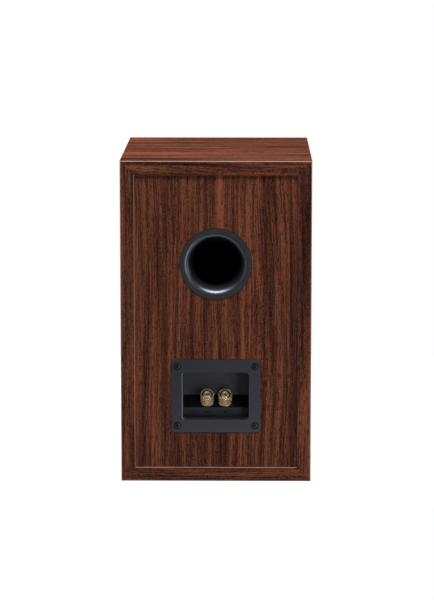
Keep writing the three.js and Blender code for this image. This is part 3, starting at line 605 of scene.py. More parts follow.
def block(name, lowest, highest):
    bpy.ops.object.select_all(action="DESELECT")
    lowest, highest = Vector(lowest), Vector(highest)
    bpy.ops.mesh.primitive_cube_add(size=1, location=(lowest + highest) / 2)
    bpy.context.object.scale = highest - lowest
    return settled(name)


def rounded_block(name, lowest, highest, radius, axis, segments=6):
    """A block whose four edges along an axis are rounded."""
    piece = block(name, lowest, highest)
    bevel(piece, lambda edge: along(edge, axis), radius, segments)
    return piece


def rod(name, radius, start, end, sides=48):
    """A round bar between two points, mostly used as a drill."""
    bpy.ops.object.select_all(action="DESELECT")
    start, end = Vector(start), Vector(end)
    turn = Z_AXIS.rotation_difference(end - start)
    bpy.ops.mesh.primitive_cylinder_add(
        vertices=sides,
        radius=radius * MM,
        depth=(end - start).length,
        location=(start + end) / 2,
        rotation=turn.to_euler(),
    )
    return settled(name)


def moved(piece, place):
    """Puts a piece drawn at the origin in its place."""
    only(piece)
    piece.matrix_world = place
    bpy.ops.object.transform_apply(location=True, rotation=True, scale=True)
    return piece


def copied(piece, name, place=HERE):
    only(piece)
    bpy.ops.object.duplicate()
    twin = bpy.context.object
    twin.name = name
    twin.data.name = name
    return moved(twin, place)


def combine(piece, tool, operation="DIFFERENCE"):
    """Cuts the tool out of a piece, or adds it, and uses the tool up."""
    with_modifier(piece, "BOOLEAN", object=tool, operation=operation, solver="EXACT")
    bpy.data.objects.remove(tool)
    return piece


def bisected(piece, point, normal):
    """Cuts off what lies beyond a plane and closes the cut."""
    with editing(piece):
        bpy.ops.mesh.select_all(action="SELECT")
        bpy.ops.mesh.bisect(plane_co=point, plane_no=normal, use_fill=True, clear_outer=True)
    return piece


def drill(piece, radius, start, end, sides=24):
    return combine(piece, rod("drill", radius, start, end, sides))


def rounded_corner(before, corner, after, radius, steps):
    """The points of an arc in place of one corner of an outline."""
    corner = Vector(corner)
    back = (Vector(before) - corner).normalized()
    onward = (Vector(after) - corner).normalized()
    half = back.angle(onward) / 2
    hub = corner + (back + onward).normalized() * radius / math.sin(half)
    start = corner + back * radius / math.tan(half) - hub
    end = corner + onward * radius / math.tan(half) - hub
    return [hub + start.slerp(end, i / steps).normalized() * radius for i in range(steps + 1)]


def outline_of(points, closed, steps=4):
    """An outline's points, with an arc wherever a third number gives a corner's radius."""
    flat = [Vector(p[:2]) for p in points]
    result = []
    for i, point in enumerate(points):
        if len(point) == 2:
            result.append(flat[i])
            continue
        before = flat[i - 1]
        after = flat[(i + 1) % len(flat)]
        result.extend(rounded_corner(before, flat[i], after, point[2], steps))
    return result + result[:1] if closed else result


def close_seams():
    """In edit mode, merges double points and turns the faces outwards."""
    bpy.ops.mesh.select_all(action="SELECT")
    bpy.ops.mesh.remove_doubles(threshold=DOUBLES)
    bpy.ops.mesh.normals_make_consistent(inside=False)


def turned(name, outline, place, steps=64, closed=True, arc_steps=4, smooth=32):
    """A piece turned from an outline of (radius, distance along the axis) in millimetres."""
    bpy.ops.object.select_all(action="DESELECT")
    bpy.ops.mesh.primitive_plane_add(size=MM)
    piece = settled(name)
    points = [Vector((r * MM, 0, s * MM)) for r, s in outline_of(outline, closed, arc_steps)]
    with editing(piece):
        bpy.ops.mesh.select_all(action="SELECT")
        bpy.ops.mesh.merge(type="CENTER")
        bpy.ops.transform.translate(value=points[0])
        for before, after in zip(points, points[1:]):
            bpy.ops.mesh.extrude_region_move(TRANSFORM_OT_translate={"value": after - before})
        bpy.ops.mesh.select_all(action="SELECT")
        bpy.ops.mesh.spin(steps=steps, angle=FULL_TURN, center=(0, 0, 0), axis=(0, 0, 1))
        close_seams()
    moved(piece, place)
    return smoothed(piece, smooth)


def smoothed(piece, angle=32):
    only(piece)
    bpy.ops.object.shade_smooth_by_angle(angle=math.radians(angle))
    return piece


def flat_shaded(piece, angle=32):
    """Smooth shading that leaves the large faces flat beside their rounded edges."""
    return with_modifier(smoothed(piece, angle), "WEIGHTED_NORMAL", keep_sharp=True, weight=90)


def flat_map(piece):
    """Lays a map over the piece at its real size, one metre to one."""
    if not piece.data.uv_layers:
        piece.data.uv_layers.new(name="flat")
    with editing(piece):
        bpy.ops.mesh.select_all(action="SELECT")
        bpy.ops.uv.cube_project(cube_size=1, correct_aspect=False, scale_to_bounds=False)
    return piece


def painted(piece, *finishes):
    piece.data.materials.clear()
    for name in finishes:
        piece.data.materials.append(finish(name))
    return piece


def fitted(piece, body, slot, *nodes):
    """Parents a finished piece to its body and hides the CAD nodes it stands for; the finish slot is not
    used.
    """
    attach(piece, body)
    return stands_for(piece, slot, *nodes)


def stands_for(piece, slot, *nodes):
    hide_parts(*nodes)
    return piece


def whole(node, made_as, outline, place, steps, finish_name, body, slot, closed=True):
    """Turns, paints and hands over one whole piece."""
    piece = turned(f"{node}_{made_as}", outline, place, steps, closed)
    return fitted(painted(piece, finish_name), body, slot, node)


def dress(node, finish_name):
    """Gives a CAD node that stays as it is a better material."""
    for place in frame["nodes"][node].material_slots:
        place.material = finish(finish_name)


# ------------------------------------------------------------------ what a user would change


def length(label, explanation, millimetres):
    facts = {"subtype": "DISTANCE", "unit": "LENGTH", "precision": 5, "default": millimetres * MM}
    return bpy.props.FloatProperty(name=label, description=explanation, **facts)


def colour(label, explanation, default):
    facts = {"size": 3, "min": 0, "max": 1, "subtype": "COLOR", "default": default}
    return bpy.props.FloatVectorProperty(name=label, description=explanation, **facts)


def share(label, explanation, default, highest=1.0):
    facts = {"min": 0, "max": highest, "subtype": "FACTOR", "default": default}
    return bpy.props.FloatProperty(name=label, description=explanation, **facts)


def power(label, explanation, watts):
    facts = {"min": 0, "unit": "POWER", "default": watts}
    return bpy.props.FloatProperty(name=label, description=explanation, **facts)


class SpeakerCabinet(bpy.types.PropertyGroup):
    """The veneered boards"""

    outer_edge: length("Outer edge", "Rounding of the boards' outer edges", 1.1)
    inner_edge: length("Inner edge", "Rounding of the rim round the rear panel", 0.7)
    mitre_edge: length("Mitre edge", "Softening along the mitred corners", 0.22)
    panel_gap: length("Panel gap", "Gap round the rear panel", 0.3)
    dark_colour: colour("Dark grain", "Colour of the darkest grain", tint(38, 24, 20))
    middle_colour: colour("Middle grain", "Colour of most of the veneer", tint(84, 49, 38))
    light_colour: colour("Light grain", "Colour of the lightest grain", tint(142, 82, 58))
    # Lighter colour of the edges: partly rubbed wear, partly a painted highlight where light catches the
    # rounded edges.
    edge_colour: colour("Rubbed edge", "Veneer rubbed light at the edges", tint(170, 122, 100))
    band_contrast: share("Bands", "Contrast of the broad bands", 0.9, 3)
    ring_contrast: share("Rings", "Contrast of the growth rings", 1.1, 3)
    fibre_contrast: share("Fibres", "Contrast of the long fibres", 1.25, 3)
    fleck_contrast: share("Flecks", "Contrast of the short flecks", 1.3, 3)
    pore_depth: share("Pores", "How much the pores darken the veneer", 0.35)


class SpeakerPort(bpy.types.PropertyGroup):
    """The flared port"""

    colour: colour("Colour", "Colour of the port", tint(12, 12, 15))
    roughness: share("Roughness", "Roughness of the port's surface", 0.36)


class SpeakerTerminals(bpy.types.PropertyGroup):
    """The terminal cup and its binding posts"""

    plate_edge: length("Plate edge", "Rounding of the plate's front edge", 0.4)
    lip: length("Opening lip", "Rounding of the lip round the opening", 1.9)
    plastic_colour: colour("Plastic", "Colour of the cup", tint(12, 14, 19))
    plastic_gloss: share("Plastic gloss", "Strength of the cup's reflections", 1.0)
    gold_colour: colour("Gold", "Colour of the plated metal", (1.0, 0.76, 0.42))
    gold_roughness: share("Gold roughness", "Roughness of the plated metal", 0.18)
    clear_colour: colour("Clear plastic", "Tint of the thumb caps", (1.0, 0.88, 0.74))
    clear_haze: share("Haze", "How milky the thumb caps are", 0.12)


class SpeakerGrille(bpy.types.PropertyGroup):
    """The pull-off grille"""

    cloth_colour: colour("Cloth", "Colour of the threads", tint(52, 52, 56))
    thread_pitch: length("Thread pitch", "Distance from thread to thread", 0.9)


class SpeakerStage(bpy.types.PropertyGroup):
    """Floor, lights and camera"""

    ambient: share("Ambient", "Light from all round", 0.06)
    room: share("Room", "Brightness of the room's walls, as gloss shows them", 0.12)
    key_power: power("Key", "Strip light at the lower right", 3.7)
    front_power: power("Front", "Softbox overhead, a little towards the camera", 36)
    top_power: power("Top", "Softbox behind the top", 2.5)
    side_power: power("Side", "Strip light far to the right", 2)
    fill_power: power("Fill", "Faint strip light at the left", 0.8)
    wing_power: power("Wings", "Softboxes that light the sides and the front", 18)


SETTINGS = {
    "speaker_cabinet": SpeakerCabinet,
    "speaker_port": SpeakerPort,
    "speaker_terminals": SpeakerTerminals,
    "speaker_grille": SpeakerGrille,
    "speaker_stage": SpeakerStage,
}


# ------------------------------------------------------------------ cabinet

MITRE_GLUE = 0.03  # mm, half the glue line in a mitre
PANEL_EDGE = 0.4  # mm, rounding of the rear panel's outside edges
POCKET_CORNER = 6  # mm, of the rear panel's opening for the cup
PILOT_HOLE = 1.6  # mm, radius
WADDING_VOXEL, WADDING_LUMP, WADDING_DEPTH = 3.5, 22, 3.5  # mm
CAD_MIDDLE = (Vector(CAD_BOX[0]) + Vector(CAD_BOX[1])) / 2

# Each board: the axis it runs along, the axis it faces out along and its finish.
BOARDS = {
    "top_panel": (X_AXIS, Z_AXIS, "veneer_level"),
    "bottom_panel": (X_AXIS, Z_AXIS, "veneer_level"),
    "left_side_panel": (Z_AXIS, X_AXIS, "veneer_upright"),
    "right_side_panel": (Z_AXIS, X_AXIS, "veneer_upright"),
}


def mitred_board(node, run, across, finish_name):
    """A veneered board with rounded long edges, cut at 45 degrees at both ends."""
    look = bpy.context.scene.speaker_cabinet
    out = across if middle(node).dot(across) > CAD_MIDDLE.dot(across) else -across
    board = block(f"{node}_veneered", low(node), high(node))
    painted(board, finish_name, f"{finish_name}_edge")
    outside = max(low(node).dot(out), high(node).dot(out))
    rear = high(node).y

    def outer_edge(edge):
        return along(edge, run) and near(centre(edge).dot(out), outside)

    def inner_edge(edge):
        inner = not near(centre(edge).dot(out), outside, 3)
        return along(edge, run) and near(centre(edge).y, rear) and inner

    # The rounded outer edges take the lighter edge finish: partly rubbed wear, partly a painted highlight.
    bevel(board, outer_edge, look.outer_edge / MM, 4, material=1)
    # Of the inner edges, only these two boards', on the sides the light falls on, take the lighter edge
    # finish: a painted highlight.
    lit_inner_edge = node in ("bottom_panel", "right_side_panel")
    bevel(board, inner_edge, look.inner_edge / MM, 3, material=int(lit_inner_edge))
    for extreme, way in ((low(node), -run), (high(node), run)):
        corner = run * extreme.dot(run) + out * outside - way * MITRE_GLUE * MM
        normal = (way - out).normalized()
        bisected(board, corner, normal)

        def on_cut(edge, corner=corner, normal=normal):
            return all(abs((v.co - corner).dot(normal)) < DOUBLES * 5 for v in edge.verts)

        bevel(board, on_cut, look.mitre_edge / MM, 2)
    flat_shaded(board, 35)
    return fitted(board, "cabinet", "veneer", node)


class SPEAKER_OT_boards(bpy.types.Operator):
    """Make the four mitred boards of the cabinet"""

    bl_idname = "speaker.boards"
    bl_label = "Cabinet boards"

    def execute(self, context):
        for node, facts in BOARDS.items():
            mitred_board(node, *facts)
        return {"FINISHED"}


class SPEAKER_OT_rear_panel(bpy.types.Operator):
    """Make the rear panel with its openings for the port and the terminals"""

    bl_idname = "speaker.rear_panel"
    bl_label = "Rear panel"

    def execute(self, context):
        look = context.scene.speaker_cabinet
        shrink = Vector((look.panel_gap - GAP * MM, 0, look.panel_gap - GAP * MM))
        lowest, highest = low("rear_panel") + shrink, high("rear_panel") - shrink
        panel = block("rear_panel_veneered", lowest, highest)
        painted(panel, "veneer_upright", "veneer_upright_edge")
        past = Y_AXIS * CUT_PAST * MM
        rear = Y_AXIS * (highest.y - CAD_MIDDLE.y)
        # The rounded outside edges take the lighter edge finish: partly rubbed wear, partly a painted
        # highlight.
        bevel(panel, lambda edge: near(centre(edge).y, highest.y), PANEL_EDGE, 3, material=1)
        port = middle("port_tube")
        port.y = CAD_MIDDLE.y
        drill(panel, PORT.neck + GAP, port, port + rear + past, 96)
        seat = port.copy()
        seat.y = high("port_tube").y - (PORT.thickness + GAP) * MM
        port.y = highest.y + past.y
        drill(panel, PORT.flange + look.panel_gap / MM, seat, port, 128)
        plate_gap = Vector((look.panel_gap, 0, look.panel_gap))
        plate_low, plate_high = low("terminal_cup") - plate_gap, high("terminal_cup") + plate_gap
        plate_low.y = plate_high.y - (CUP.thickness + GAP) * MM
        rebate = rounded_block("cup_rebate", plate_low, plate_high, CUP.plate_corner, Y_AXIS, 8)
        combine(panel, rebate)
        cup = middle("terminal_cup")
        half = Vector((CUP.opening[0] / 2, 0, CUP.opening[1] / 2)) * MM
        half += Vector((1, 0, 1)) * (CUP.wall + GAP) * MM
        cup_low = (cup.x - half.x, CAD_MIDDLE.y, cup.z - half.z)
        cup_high = (cup.x + half.x, highest.y + CUT_PAST * MM, cup.z + half.z)
        pocket = rounded_block("cup_pocket", cup_low, cup_high, POCKET_CORNER, Y_AXIS)
        combine(panel, pocket)
        for screw in CUP_SCREWS:
            place = middle(screw)
            place.y = CAD_MIDDLE.y
            drill(panel, PILOT_HOLE, place, place + rear + past, 16)
        flat_shaded(panel, 35)
        fitted(panel, "cabinet", "veneer", "rear_panel")
        return {"FINISHED"}


class SPEAKER_OT_front_baffle(bpy.types.Operator):
    """Paint the front baffle"""

    bl_idname = "speaker.front_baffle"
    bl_label = "Front baffle"

    def execute(self, context):
        dress("front_baffle", "baffle_paint")
        return {"FINISHED"}


class SPEAKER_OT_lining(bpy.types.Operator):
    """Make the soft wadding that lines the cabinet"""

    bl_idname = "speaker.lining"
    bl_label = "Damping lining"

    def execute(self, context):
        source = frame["nodes"]["damping_lining"].data
        lining = bpy.data.objects.new("damping_wadding", source.copy())
        context.scene.collection.objects.link(lining)
        with editing(lining):
            close_seams()
        with_modifier(lining, "REMESH", mode="VOXEL", voxel_size=WADDING_VOXEL * MM)
        with_modifier(lining, "SMOOTH", iterations=4)
        lumps = bpy.data.textures.new("wadding_lumps", "CLOUDS")
        lumps.noise_scale = WADDING_LUMP * MM
        lumps.noise_depth = 3
        depth = WADDING_DEPTH * MM
        with_modifier(lining, "DISPLACE", texture=lumps, strength=depth, mid_level=1)
        painted(lining, "wadding")
        smoothed(lining, 60)
        fitted(lining, "cabinet", "wadding", "damping_lining")
        return {"FINISHED"}


# ------------------------------------------------------------------ port


class PORT:
    """Radii and lengths of the port tube, in millimetres."""

    flange = 37.5
    thickness = 2.75
    mouth = 33.25
    throat = 25.0
    flare = 16.0
    polish = 22.0  # depth where the bore's painted shade begins, past the glossy mouth
    neck = 34.5
    neck_end = 14.75
    wall = 3.5
    length = 112.0


def quarter(steps):
    """Angles of a quarter turn."""
    return [math.pi / 2 * i / steps for i in range(steps + 1)]


def flared(mouth, throat, depth, steps):
    """Points down a flare, from its mouth to its throat."""
    drop = mouth - throat
    return [(mouth - drop * math.sin(a), depth * (1 - math.cos(a))) for a in quarter(steps)]


class SPEAKER_OT_port(bpy.types.Operator):
    """Turn the flared port tube"""

    bl_idname = "speaker.port"
    bl_label = "Port tube"

    def execute(self, context):
        outline = [
            (PORT.flange, PORT.thickness),
            (PORT.flange, 0),
            (PORT.flange - 0.3, 0),
            *flared(PORT.mouth, PORT.throat, PORT.flare, 20),
            (PORT.throat, PORT.polish - 1),
            (PORT.throat, PORT.polish + 1),
            (PORT.throat, PORT.length, 1),
            (PORT.throat + PORT.wall, PORT.length, 1),
            (PORT.throat + PORT.wall, PORT.neck_end),
            (PORT.neck, PORT.neck_end),
            (PORT.neck, PORT.thickness),
        ]
        face = middle("port_tube")
        face.y = high("port_tube").y
        port = turned("port_tube_moulded", outline, at(face, ALONG_FRONT), steps=128)
        painted(port, "port_plastic", "port_bore")
        # Deep in the tube the bore takes the darker, dull finish: painted shade where little light reaches.
        for polygon in port.data.polygons:
            across = (polygon.center - face) * (X_AXIS + Z_AXIS)
            deep = face.y - polygon.center.y > PORT.polish * MM
            bore = deep and across.length < (PORT.throat + 0.5) * MM
            polygon.material_index = int(bore)
        fitted(port, "cabinet", "black_plastic", "port_tube")
        return {"FINISHED"}


# ------------------------------------------------------------------ terminal cup


class CUP:
    """Sizes of the terminal cup, in millimetres."""

    thickness = 3.0
    plate_corner = 3.5
    opening = (72.5, 50.5)
    opening_corner = 3.75
    wall = 2.25
    depth = 28.5
    foot_depth = 17.045  # of the lower wall and the ledge's foot
    foot_height = 9.7  # of the ledge's foot above the opening's bottom
    counterbore = 4.05
    sink = 1.5
    screw_hole = 1.75
    post_hole = 2.25
    mark = 4.0
    mark_stroke = 0.75
    mark_depth = 0.5
    screw = (7.4, 1.1, 3, 14)  # head, its height, shank and length


WEDGE_PAST = 12  # mm that the ledge's body runs past the cup's walls
CUP_SCREWS = [f"terminal_cup_screw_{i}" for i in range(1, 5)]
POLARITIES = ("positive", "negative")


def ledge_wedge(name, face, bottom, offset):
    """The body behind the slanted ledge, set back by an offset."""
    foot = Vector((0, face - (CUP.foot_depth + offset) * MM, bottom + CUP.foot_height * MM))
    reach = (CUP.opening[0] / 2 + WEDGE_PAST) * MM
    past = WEDGE_PAST * MM
    lowest = (-reach, face - CUP.depth * MM - past, bottom - past)
    wedge = block(name, lowest, (reach, foot.y, foot.z + past + offset * MM))
    slope = Vector((0, 1, 1)).normalized()
    return bisected(wedge, foot - slope * offset * MM * 0.4, slope)


class SPEAKER_OT_terminal_cup(bpy.types.Operator):
    """Mould the recessed terminal cup"""

    bl_idname = "speaker.terminal_cup"
    bl_label = "Terminal cup"

    def execute(self, context):
        look = context.scene.speaker_terminals
        face = high("terminal_cup").y
        mid = middle("terminal_cup").z
        plate_low, plate_high = low("terminal_cup"), high("terminal_cup")
        plate_low.y = face - CUP.thickness * MM
        corner = CUP.plate_corner
        cup = rounded_block("terminal_cup_moulded", plate_low, plate_high, corner, Y_AXIS, 8)
        bevel(cup, lambda edge: near(centre(edge).y, face), look.plate_edge / MM, 3)
        half_x, half_z = (side / 2 * MM for side in CUP.opening)
        wall = CUP.wall * MM
        shell_low = (-half_x - wall, face - (CUP.depth + CUP.wall) * MM, mid - half_z - wall)
        shell_high = (half_x + wall, face - MM, mid + half_z + wall)
        corner = CUP.opening_corner + CUP.wall
        shell = rounded_block("cup_shell", shell_low, shell_high, corner, Y_AXIS, 8)
        combine(shell, ledge_wedge("shell_wedge", face, mid - half_z, CUP.wall))
        combine(cup, shell, "UNION")
        inner_x = half_x - look.lip
        inner_low = (-inner_x, face - CUP.depth * MM, mid - half_z)
        inner_high = (inner_x, face + MM, mid + half_z)
        corner = CUP.opening_corner
        cavity = rounded_block("cup_cavity", inner_low, inner_high, corner, Y_AXIS, 8)
        combine(cavity, ledge_wedge("cavity_wedge", face, mid - half_z, 0))
        combine(cup, cavity)

        def lip(edge):
            """The upright sides of the opening and the corners they run into."""
            middle_x = abs(centre(edge).x)
            side = inner_x - CUP.opening_corner * 0.4 * MM < middle_x < inner_x + 0.1 * MM
            return near(centre(edge).y, face) and side

        bevel(cup, lip, look.lip / MM, 5)
        self.bore(cup, face)
        self.mark(cup, face, mid - half_z)
        painted(cup, "black_plastic", "shaded_plastic", "port_plastic")
        # The cup's floor, the sunk marks and the slanted ledge take the dull shaded finish: painted shade in
        # the recess. The rolled sides of the lip take the glossier port plastic.
        foot = face - (CUP.foot_depth + CUP.mark_depth / 2) * MM
        for polygon in cup.data.polygons:
            spot = polygon.center
            floor = near(spot.z, mid - half_z, CUP.opening_corner) and polygon.normal.z > 0.3
            marked = spot.y < foot and spot.z < mid - half_z + CUP.foot_height * MM * 0.8
            inside = abs(spot.x) < half_x and spot.z > mid - half_z + MM
            sunk = marked and inside and polygon.normal.y > 0.9
            ledge = inside and polygon.normal.y > 0.6 and polygon.normal.z > 0.6
            painted_shade = (floor and spot.y < face - 2 * MM) or sunk or ledge
            rolled = inner_x < abs(spot.x) < half_x and polygon.normal.y < 0.98
            polygon.material_index = 1 if painted_shade else 2 * int(rolled and spot.y > face - 3 * MM)
        flat_shaded(cup, 40)
        fitted(cup, "cabinet", "black_plastic", "terminal_cup")
        return {"FINISHED"}

    def bore(self, cup, face):
        """Counterbores for the screws and holes for the posts' tails."""
        for screw in CUP_SCREWS:
            place = middle(screw)
            place.y = face + CUT_PAST * MM
            sink = Vector((place.x, face - CUP.sink * MM, place.z))
            through = Vector((place.x, face - 5 * MM, place.z))
            drill(cup, CUP.counterbore, sink, place, 32)
            drill(cup, CUP.screw_hole, through, place)
        for polarity in POLARITIES:
            place = post_place(polarity)
            start, end = place @ Vector((0, 0, -10 * MM)), place @ Vector((0, 0, 5 * MM))
            drill(cup, CUP.post_hole, start, end)

    def mark(self, cup, face, bottom):
        """A sunk minus under the negative post and a plus under the positive one."""
        wall = face - CUP.foot_depth * MM
        for polarity in POLARITIES:
            x = post_place(polarity).translation.x
            z = bottom + CUP.foot_height * MM / 2
            long, thin = CUP.mark / 2 * MM, CUP.mark_stroke / 2 * MM
            strokes = [(long, thin), (thin, long)] if polarity == "positive" else [(long, thin)]
            for half_x, half_z in strokes:
                lowest = (x - half_x, wall - CUP.mark_depth * MM, z - half_z)
                highest = (x + half_x, wall + CUT_PAST * MM, z + half_z)
                combine(cup, block("mark", lowest, highest))


def thread(radius, pitch, start, end):
    """A row of ridges down a shank."""
    count = int((start - end) / pitch)
    ridges = []
    for i in range(count):
        s = start - i * pitch
        ridges += [(radius, s), (radius, s - pitch * 0.15), (radius * 0.78, s - pitch * 0.6)]
    return ridges


def cross_head_screw(name, head, height, shank, length, finish_name):
    """A screw along +Z whose head stands on the origin, with a cross recess."""
    radius, core = head / 2, shank / 2
    outline = [
        (0, height),
        (radius * 0.62, height, radius * 0.5),
        (radius, height * 0.3, 0.25),
        (radius, 0),
        (core, 0),
        *thread(core, 1.2, -1.5, -length + 2.5),
        (core * 0.3, -length),
        (0, -length),
    ]
    screw = turned(name, outline, HERE, steps=32, closed=False, arc_steps=5)
    long, thin, deep = head * 0.27 * MM, head * 0.055 * MM, height * 0.85 * MM
    for half_x, half_y in ((long, thin), (thin, long)):
        bottom, top = height * MM - deep, height * MM + MM
        slot = block("recess", (-half_x, -half_y, bottom), (half_x, half_y, top))
        with editing(slot):
            select(slot, "VERT", lambda vert, level=bottom: near(vert.co.z, level))
            bpy.ops.transform.resize(value=(0.45, 0.45, 1), center_override=(0, 0, 0))
        combine(screw, slot)
    painted(screw, finish_name)
    return smoothed(screw, 35)


def screws(nodes, sizes, turn, seat, twist):
    """One screw, copied to the place of every node in a list."""
    first = cross_head_screw("screw_pattern", *sizes, "black_steel")
    for i, node in enumerate(nodes):
        place = middle(node)
        place.y = seat(node)
        spin = Matrix.Rotation(math.radians(twist * i + 20), 4, "Z")
        screw = copied(first, f"{node}_cut", at(place, turn @ spin))
        fitted(screw, "cabinet", "black_steel", node)
    bpy.data.objects.remove(first)


class SPEAKER_OT_cup_screws(bpy.types.Operator):
    """Make the four screws of the terminal cup"""

    bl_idname = "speaker.cup_screws"
    bl_label = "Terminal cup screws"

    def execute(self, context):
        height = CUP.screw[1] * MM
        screws(CUP_SCREWS, CUP.screw, ALONG_REAR, lambda n: high(n).y - height, 37)
        return {"FINISHED"}


# ------------------------------------------------------------------ binding posts


class POST:
    """Sizes of a binding post along its axis from the ledge, in millimetres."""

    tail = 2.0
    tail_end = -14.0
    collar = 7.3
    collar_top = 1.25
    shaft = 2.9
    top = 12.0
    bore = 2.0
    bore_depth = 9.5
    washer = (3.15, 5.25, 1.5, 2.3)  # inner and outer radius, bottom and top
    ring = (4.55, 5.4, 2.55, 3.0)
    insert = 4.3
    insert_bore = 3.15
    insert_bottom = 2.55
    insert_top = 13.75
    cap = 7.5
    cap_bottom = 1.5
    cap_shoulder = 12.3
    cap_top = 13.5
    cap_corner = 6.75
    barrel = 6.0
    barrel_bottom = 3.3
    barrel_top = 12.0
    grip = 0.04  # how deep the plastic holds the barrel
    cap_mouth = 5.2
    nut = 4.5
    nut_top = -2.5
    nut_bottom = -5.5


def post_place(polarity):
    """Where a post stands: its base on the ledge, and +Z along its axis."""
    turn = joint(f"{polarity}_post_turn")
    lean = Z_AXIS.rotation_difference(Vector(turn["axis"])).to_matrix().to_4x4()
    return at(Vector(turn["pos_m"]), lean)


def hollow(inner, outer, start, end, soft):
    """The outline of a ring with softened corners."""
    return [(inner, start, soft), (outer, start, soft), (outer, end, soft), (inner, end, soft)]


def post_stud():
    outline = [
        (0, POST.tail_end),
        (POST.tail - 0.4, POST.tail_end),
        *[(r, -s) for r, s in reversed(thread(POST.tail, 0.7, -0.5, POST.tail_end + 0.5))],
        (POST.tail, GAP),
        (POST.collar, GAP, 0.2),
        (POST.collar, POST.collar_top, 0.35),
        (POST.shaft, POST.collar_top),
        (POST.shaft, POST.top, 0.3),
        (POST.bore, POST.top, 0.3),
        (POST.bore, POST.top - POST.bore_depth),
        (0, POST.top - POST.bore_depth - 0.4),
    ]
    stud = turned("stud_pattern", outline, HERE, steps=48, closed=False)
    return painted(stud, "gold_plate")


def cap_insert():
    """The gold insert: a ribbed barrel inside the clear plastic and a rolled lip on top."""
    lip = (POST.insert - POST.bore) / 2
    roll = [
        (POST.bore + lip + lip * math.cos(a), POST.insert_top - lip + lip * math.sin(a))
        for a in (math.pi * i / 20 for i in range(21))
    ]
    outline = [
        (POST.insert_bore, POST.insert_bottom, 0.15),
        (POST.insert, POST.insert_bottom, 0.15),
        *roll,
        (POST.bore, POST.top + GAP),
        (POST.insert_bore, POST.top + GAP),
    ]
    insert = turned("insert_pattern", outline, HERE, steps=64)
    painted(insert, "gold_plate", "shaded_plastic")
    inner = (POST.insert + POST.insert_bore) / 2
    ribs = hollow(inner, POST.barrel, POST.barrel_bottom, POST.barrel_top, 0.2)
    barrel = turned("insert_barrel", ribs, HERE, steps=20)
    painted(barrel, "gold_plate", "shaded_plastic")
    # The barrel's flat top takes the dull shaded finish: painted shade in the groove round the lip.
    for polygon in barrel.data.polygons:
        polygon.material_index = int(polygon.normal.z > 0.9)
    combine(insert, barrel, "UNION")
    return smoothed(insert, 14)


def thumb_cap():
    """A clear twelve-sided cap that ends in a hexagon, with its edges softened."""
    cap = rod(
        "cap_pattern", POST.cap, (0, 0, POST.cap_bottom * MM), (0, 0, POST.cap_shoulder * MM), 12
    )
    with editing(cap):
        select(cap, "FACE", lambda face: face.normal.z > 0.9)
        rise = (POST.cap_top - POST.cap_shoulder) * MM
        bpy.ops.mesh.extrude_region_move(TRANSFORM_OT_translate={"value": (0, 0, rise)})
        shrink = POST.cap_corner / POST.cap
        bpy.ops.transform.resize(value=(shrink, shrink, 1), center_override=(0, 0, 0))

        def between_corners(vert):
            turn = math.degrees(math.atan2(vert.co.x, vert.co.y)) % 60
            return near(vert.co.z, POST.cap_top * MM) and 20 < turn < 40

        select(cap, "VERT", between_corners)
        flat = math.cos(math.radians(30))
        bpy.ops.transform.resize(value=(flat, flat, 1), center_override=(0, 0, 0))
    bevel(cap, lambda edge: edge.calc_face_angle(0) > math.radians(8), 0.22, 2)
    bore = [
        (0, POST.cap_bottom - 1),
        (POST.barrel - POST.grip, POST.cap_bottom - 1),
        (POST.barrel - POST.grip, POST.barrel_top),
        (POST.cap_mouth, POST.barrel_top),
        (POST.cap_mouth, POST.cap_top + 1),
        (0, POST.cap_top + 1),
    ]
    combine(cap, turned("cap_bore", bore, HERE, closed=False))
    painted(cap, "clear_plastic")
    return smoothed(cap, 14)


def back_nut():
    radius, bottom, top = POST.nut, POST.nut_bottom, POST.nut_top
    nut = rod("nut_pattern", radius, (0, 0, bottom * MM), (0, 0, top * MM), 6)
    rim = [(0, bottom), (radius - 0.5, bottom), (radius + 0.1, bottom + 0.4)]
    rim += [(radius + 0.1, top - 0.4), (radius - 0.5, top), (0, top)]
    combine(nut, turned("nut_rim", rim, HERE, closed=False), "INTERSECT")
    ends = (0, 0, (bottom - 1) * MM), (0, 0, (top + 1) * MM)
    drill(nut, POST.tail + GAP, *ends, 32)
    painted(nut, "zinc_steel")
    return smoothed(nut)


class SPEAKER_OT_binding_posts(bpy.types.Operator):
    """Make the two binding posts with their studs, rings, inserts and clear caps"""

    bl_idname = "speaker.binding_posts"
    bl_label = "Binding posts"

    def execute(self, context):
        washer = turned("washer_pattern", hollow(*POST.washer, 0.15), HERE, 48)
        ring = turned("ring_pattern", hollow(*POST.ring, 0.2), HERE, 48)
        patterns = {
            "stud": (post_stud(), "cabinet", "gold"),
            "back_nut": (back_nut(), "cabinet", "zinc_steel"),
            "clamp_washer": (painted(washer, "gold_plate"), "{}_clamp", "gold"),
            "colour_ring": (ring, "{}_thumb_nut", None),
            "cap_insert": (cap_insert(), "{}_thumb_nut", "gold"),
            "thumb_cap": (thumb_cap(), "{}_thumb_nut", "clear_plastic"),
        }
        rings = {
            "positive": ("red_plastic", "red_plastic"),
            "negative": ("ring_black", "black_ring"),
        }
        for polarity in POLARITIES:
            for part, (pattern, body, slot) in patterns.items():
                node = f"{polarity}_post_{part}"
                piece = copied(pattern, f"{node}_made", post_place(polarity))
                if part == "colour_ring":
                    finish_name, slot = rings[polarity]
                    painted(piece, finish_name)
                fitted(piece, body.format(polarity), slot, node)
        for pattern, _, _ in patterns.values():
            bpy.data.objects.remove(pattern)
        return {"FINISHED"}


# ------------------------------------------------------------------ drivers

FRONT = low("front_baffle").y


def driver_place(node):
    """A driver's centre on the baffle's face, and +Z into the cabinet."""
    place = middle(node)
    place.y = FRONT
    return at(place, ALONG_REAR)


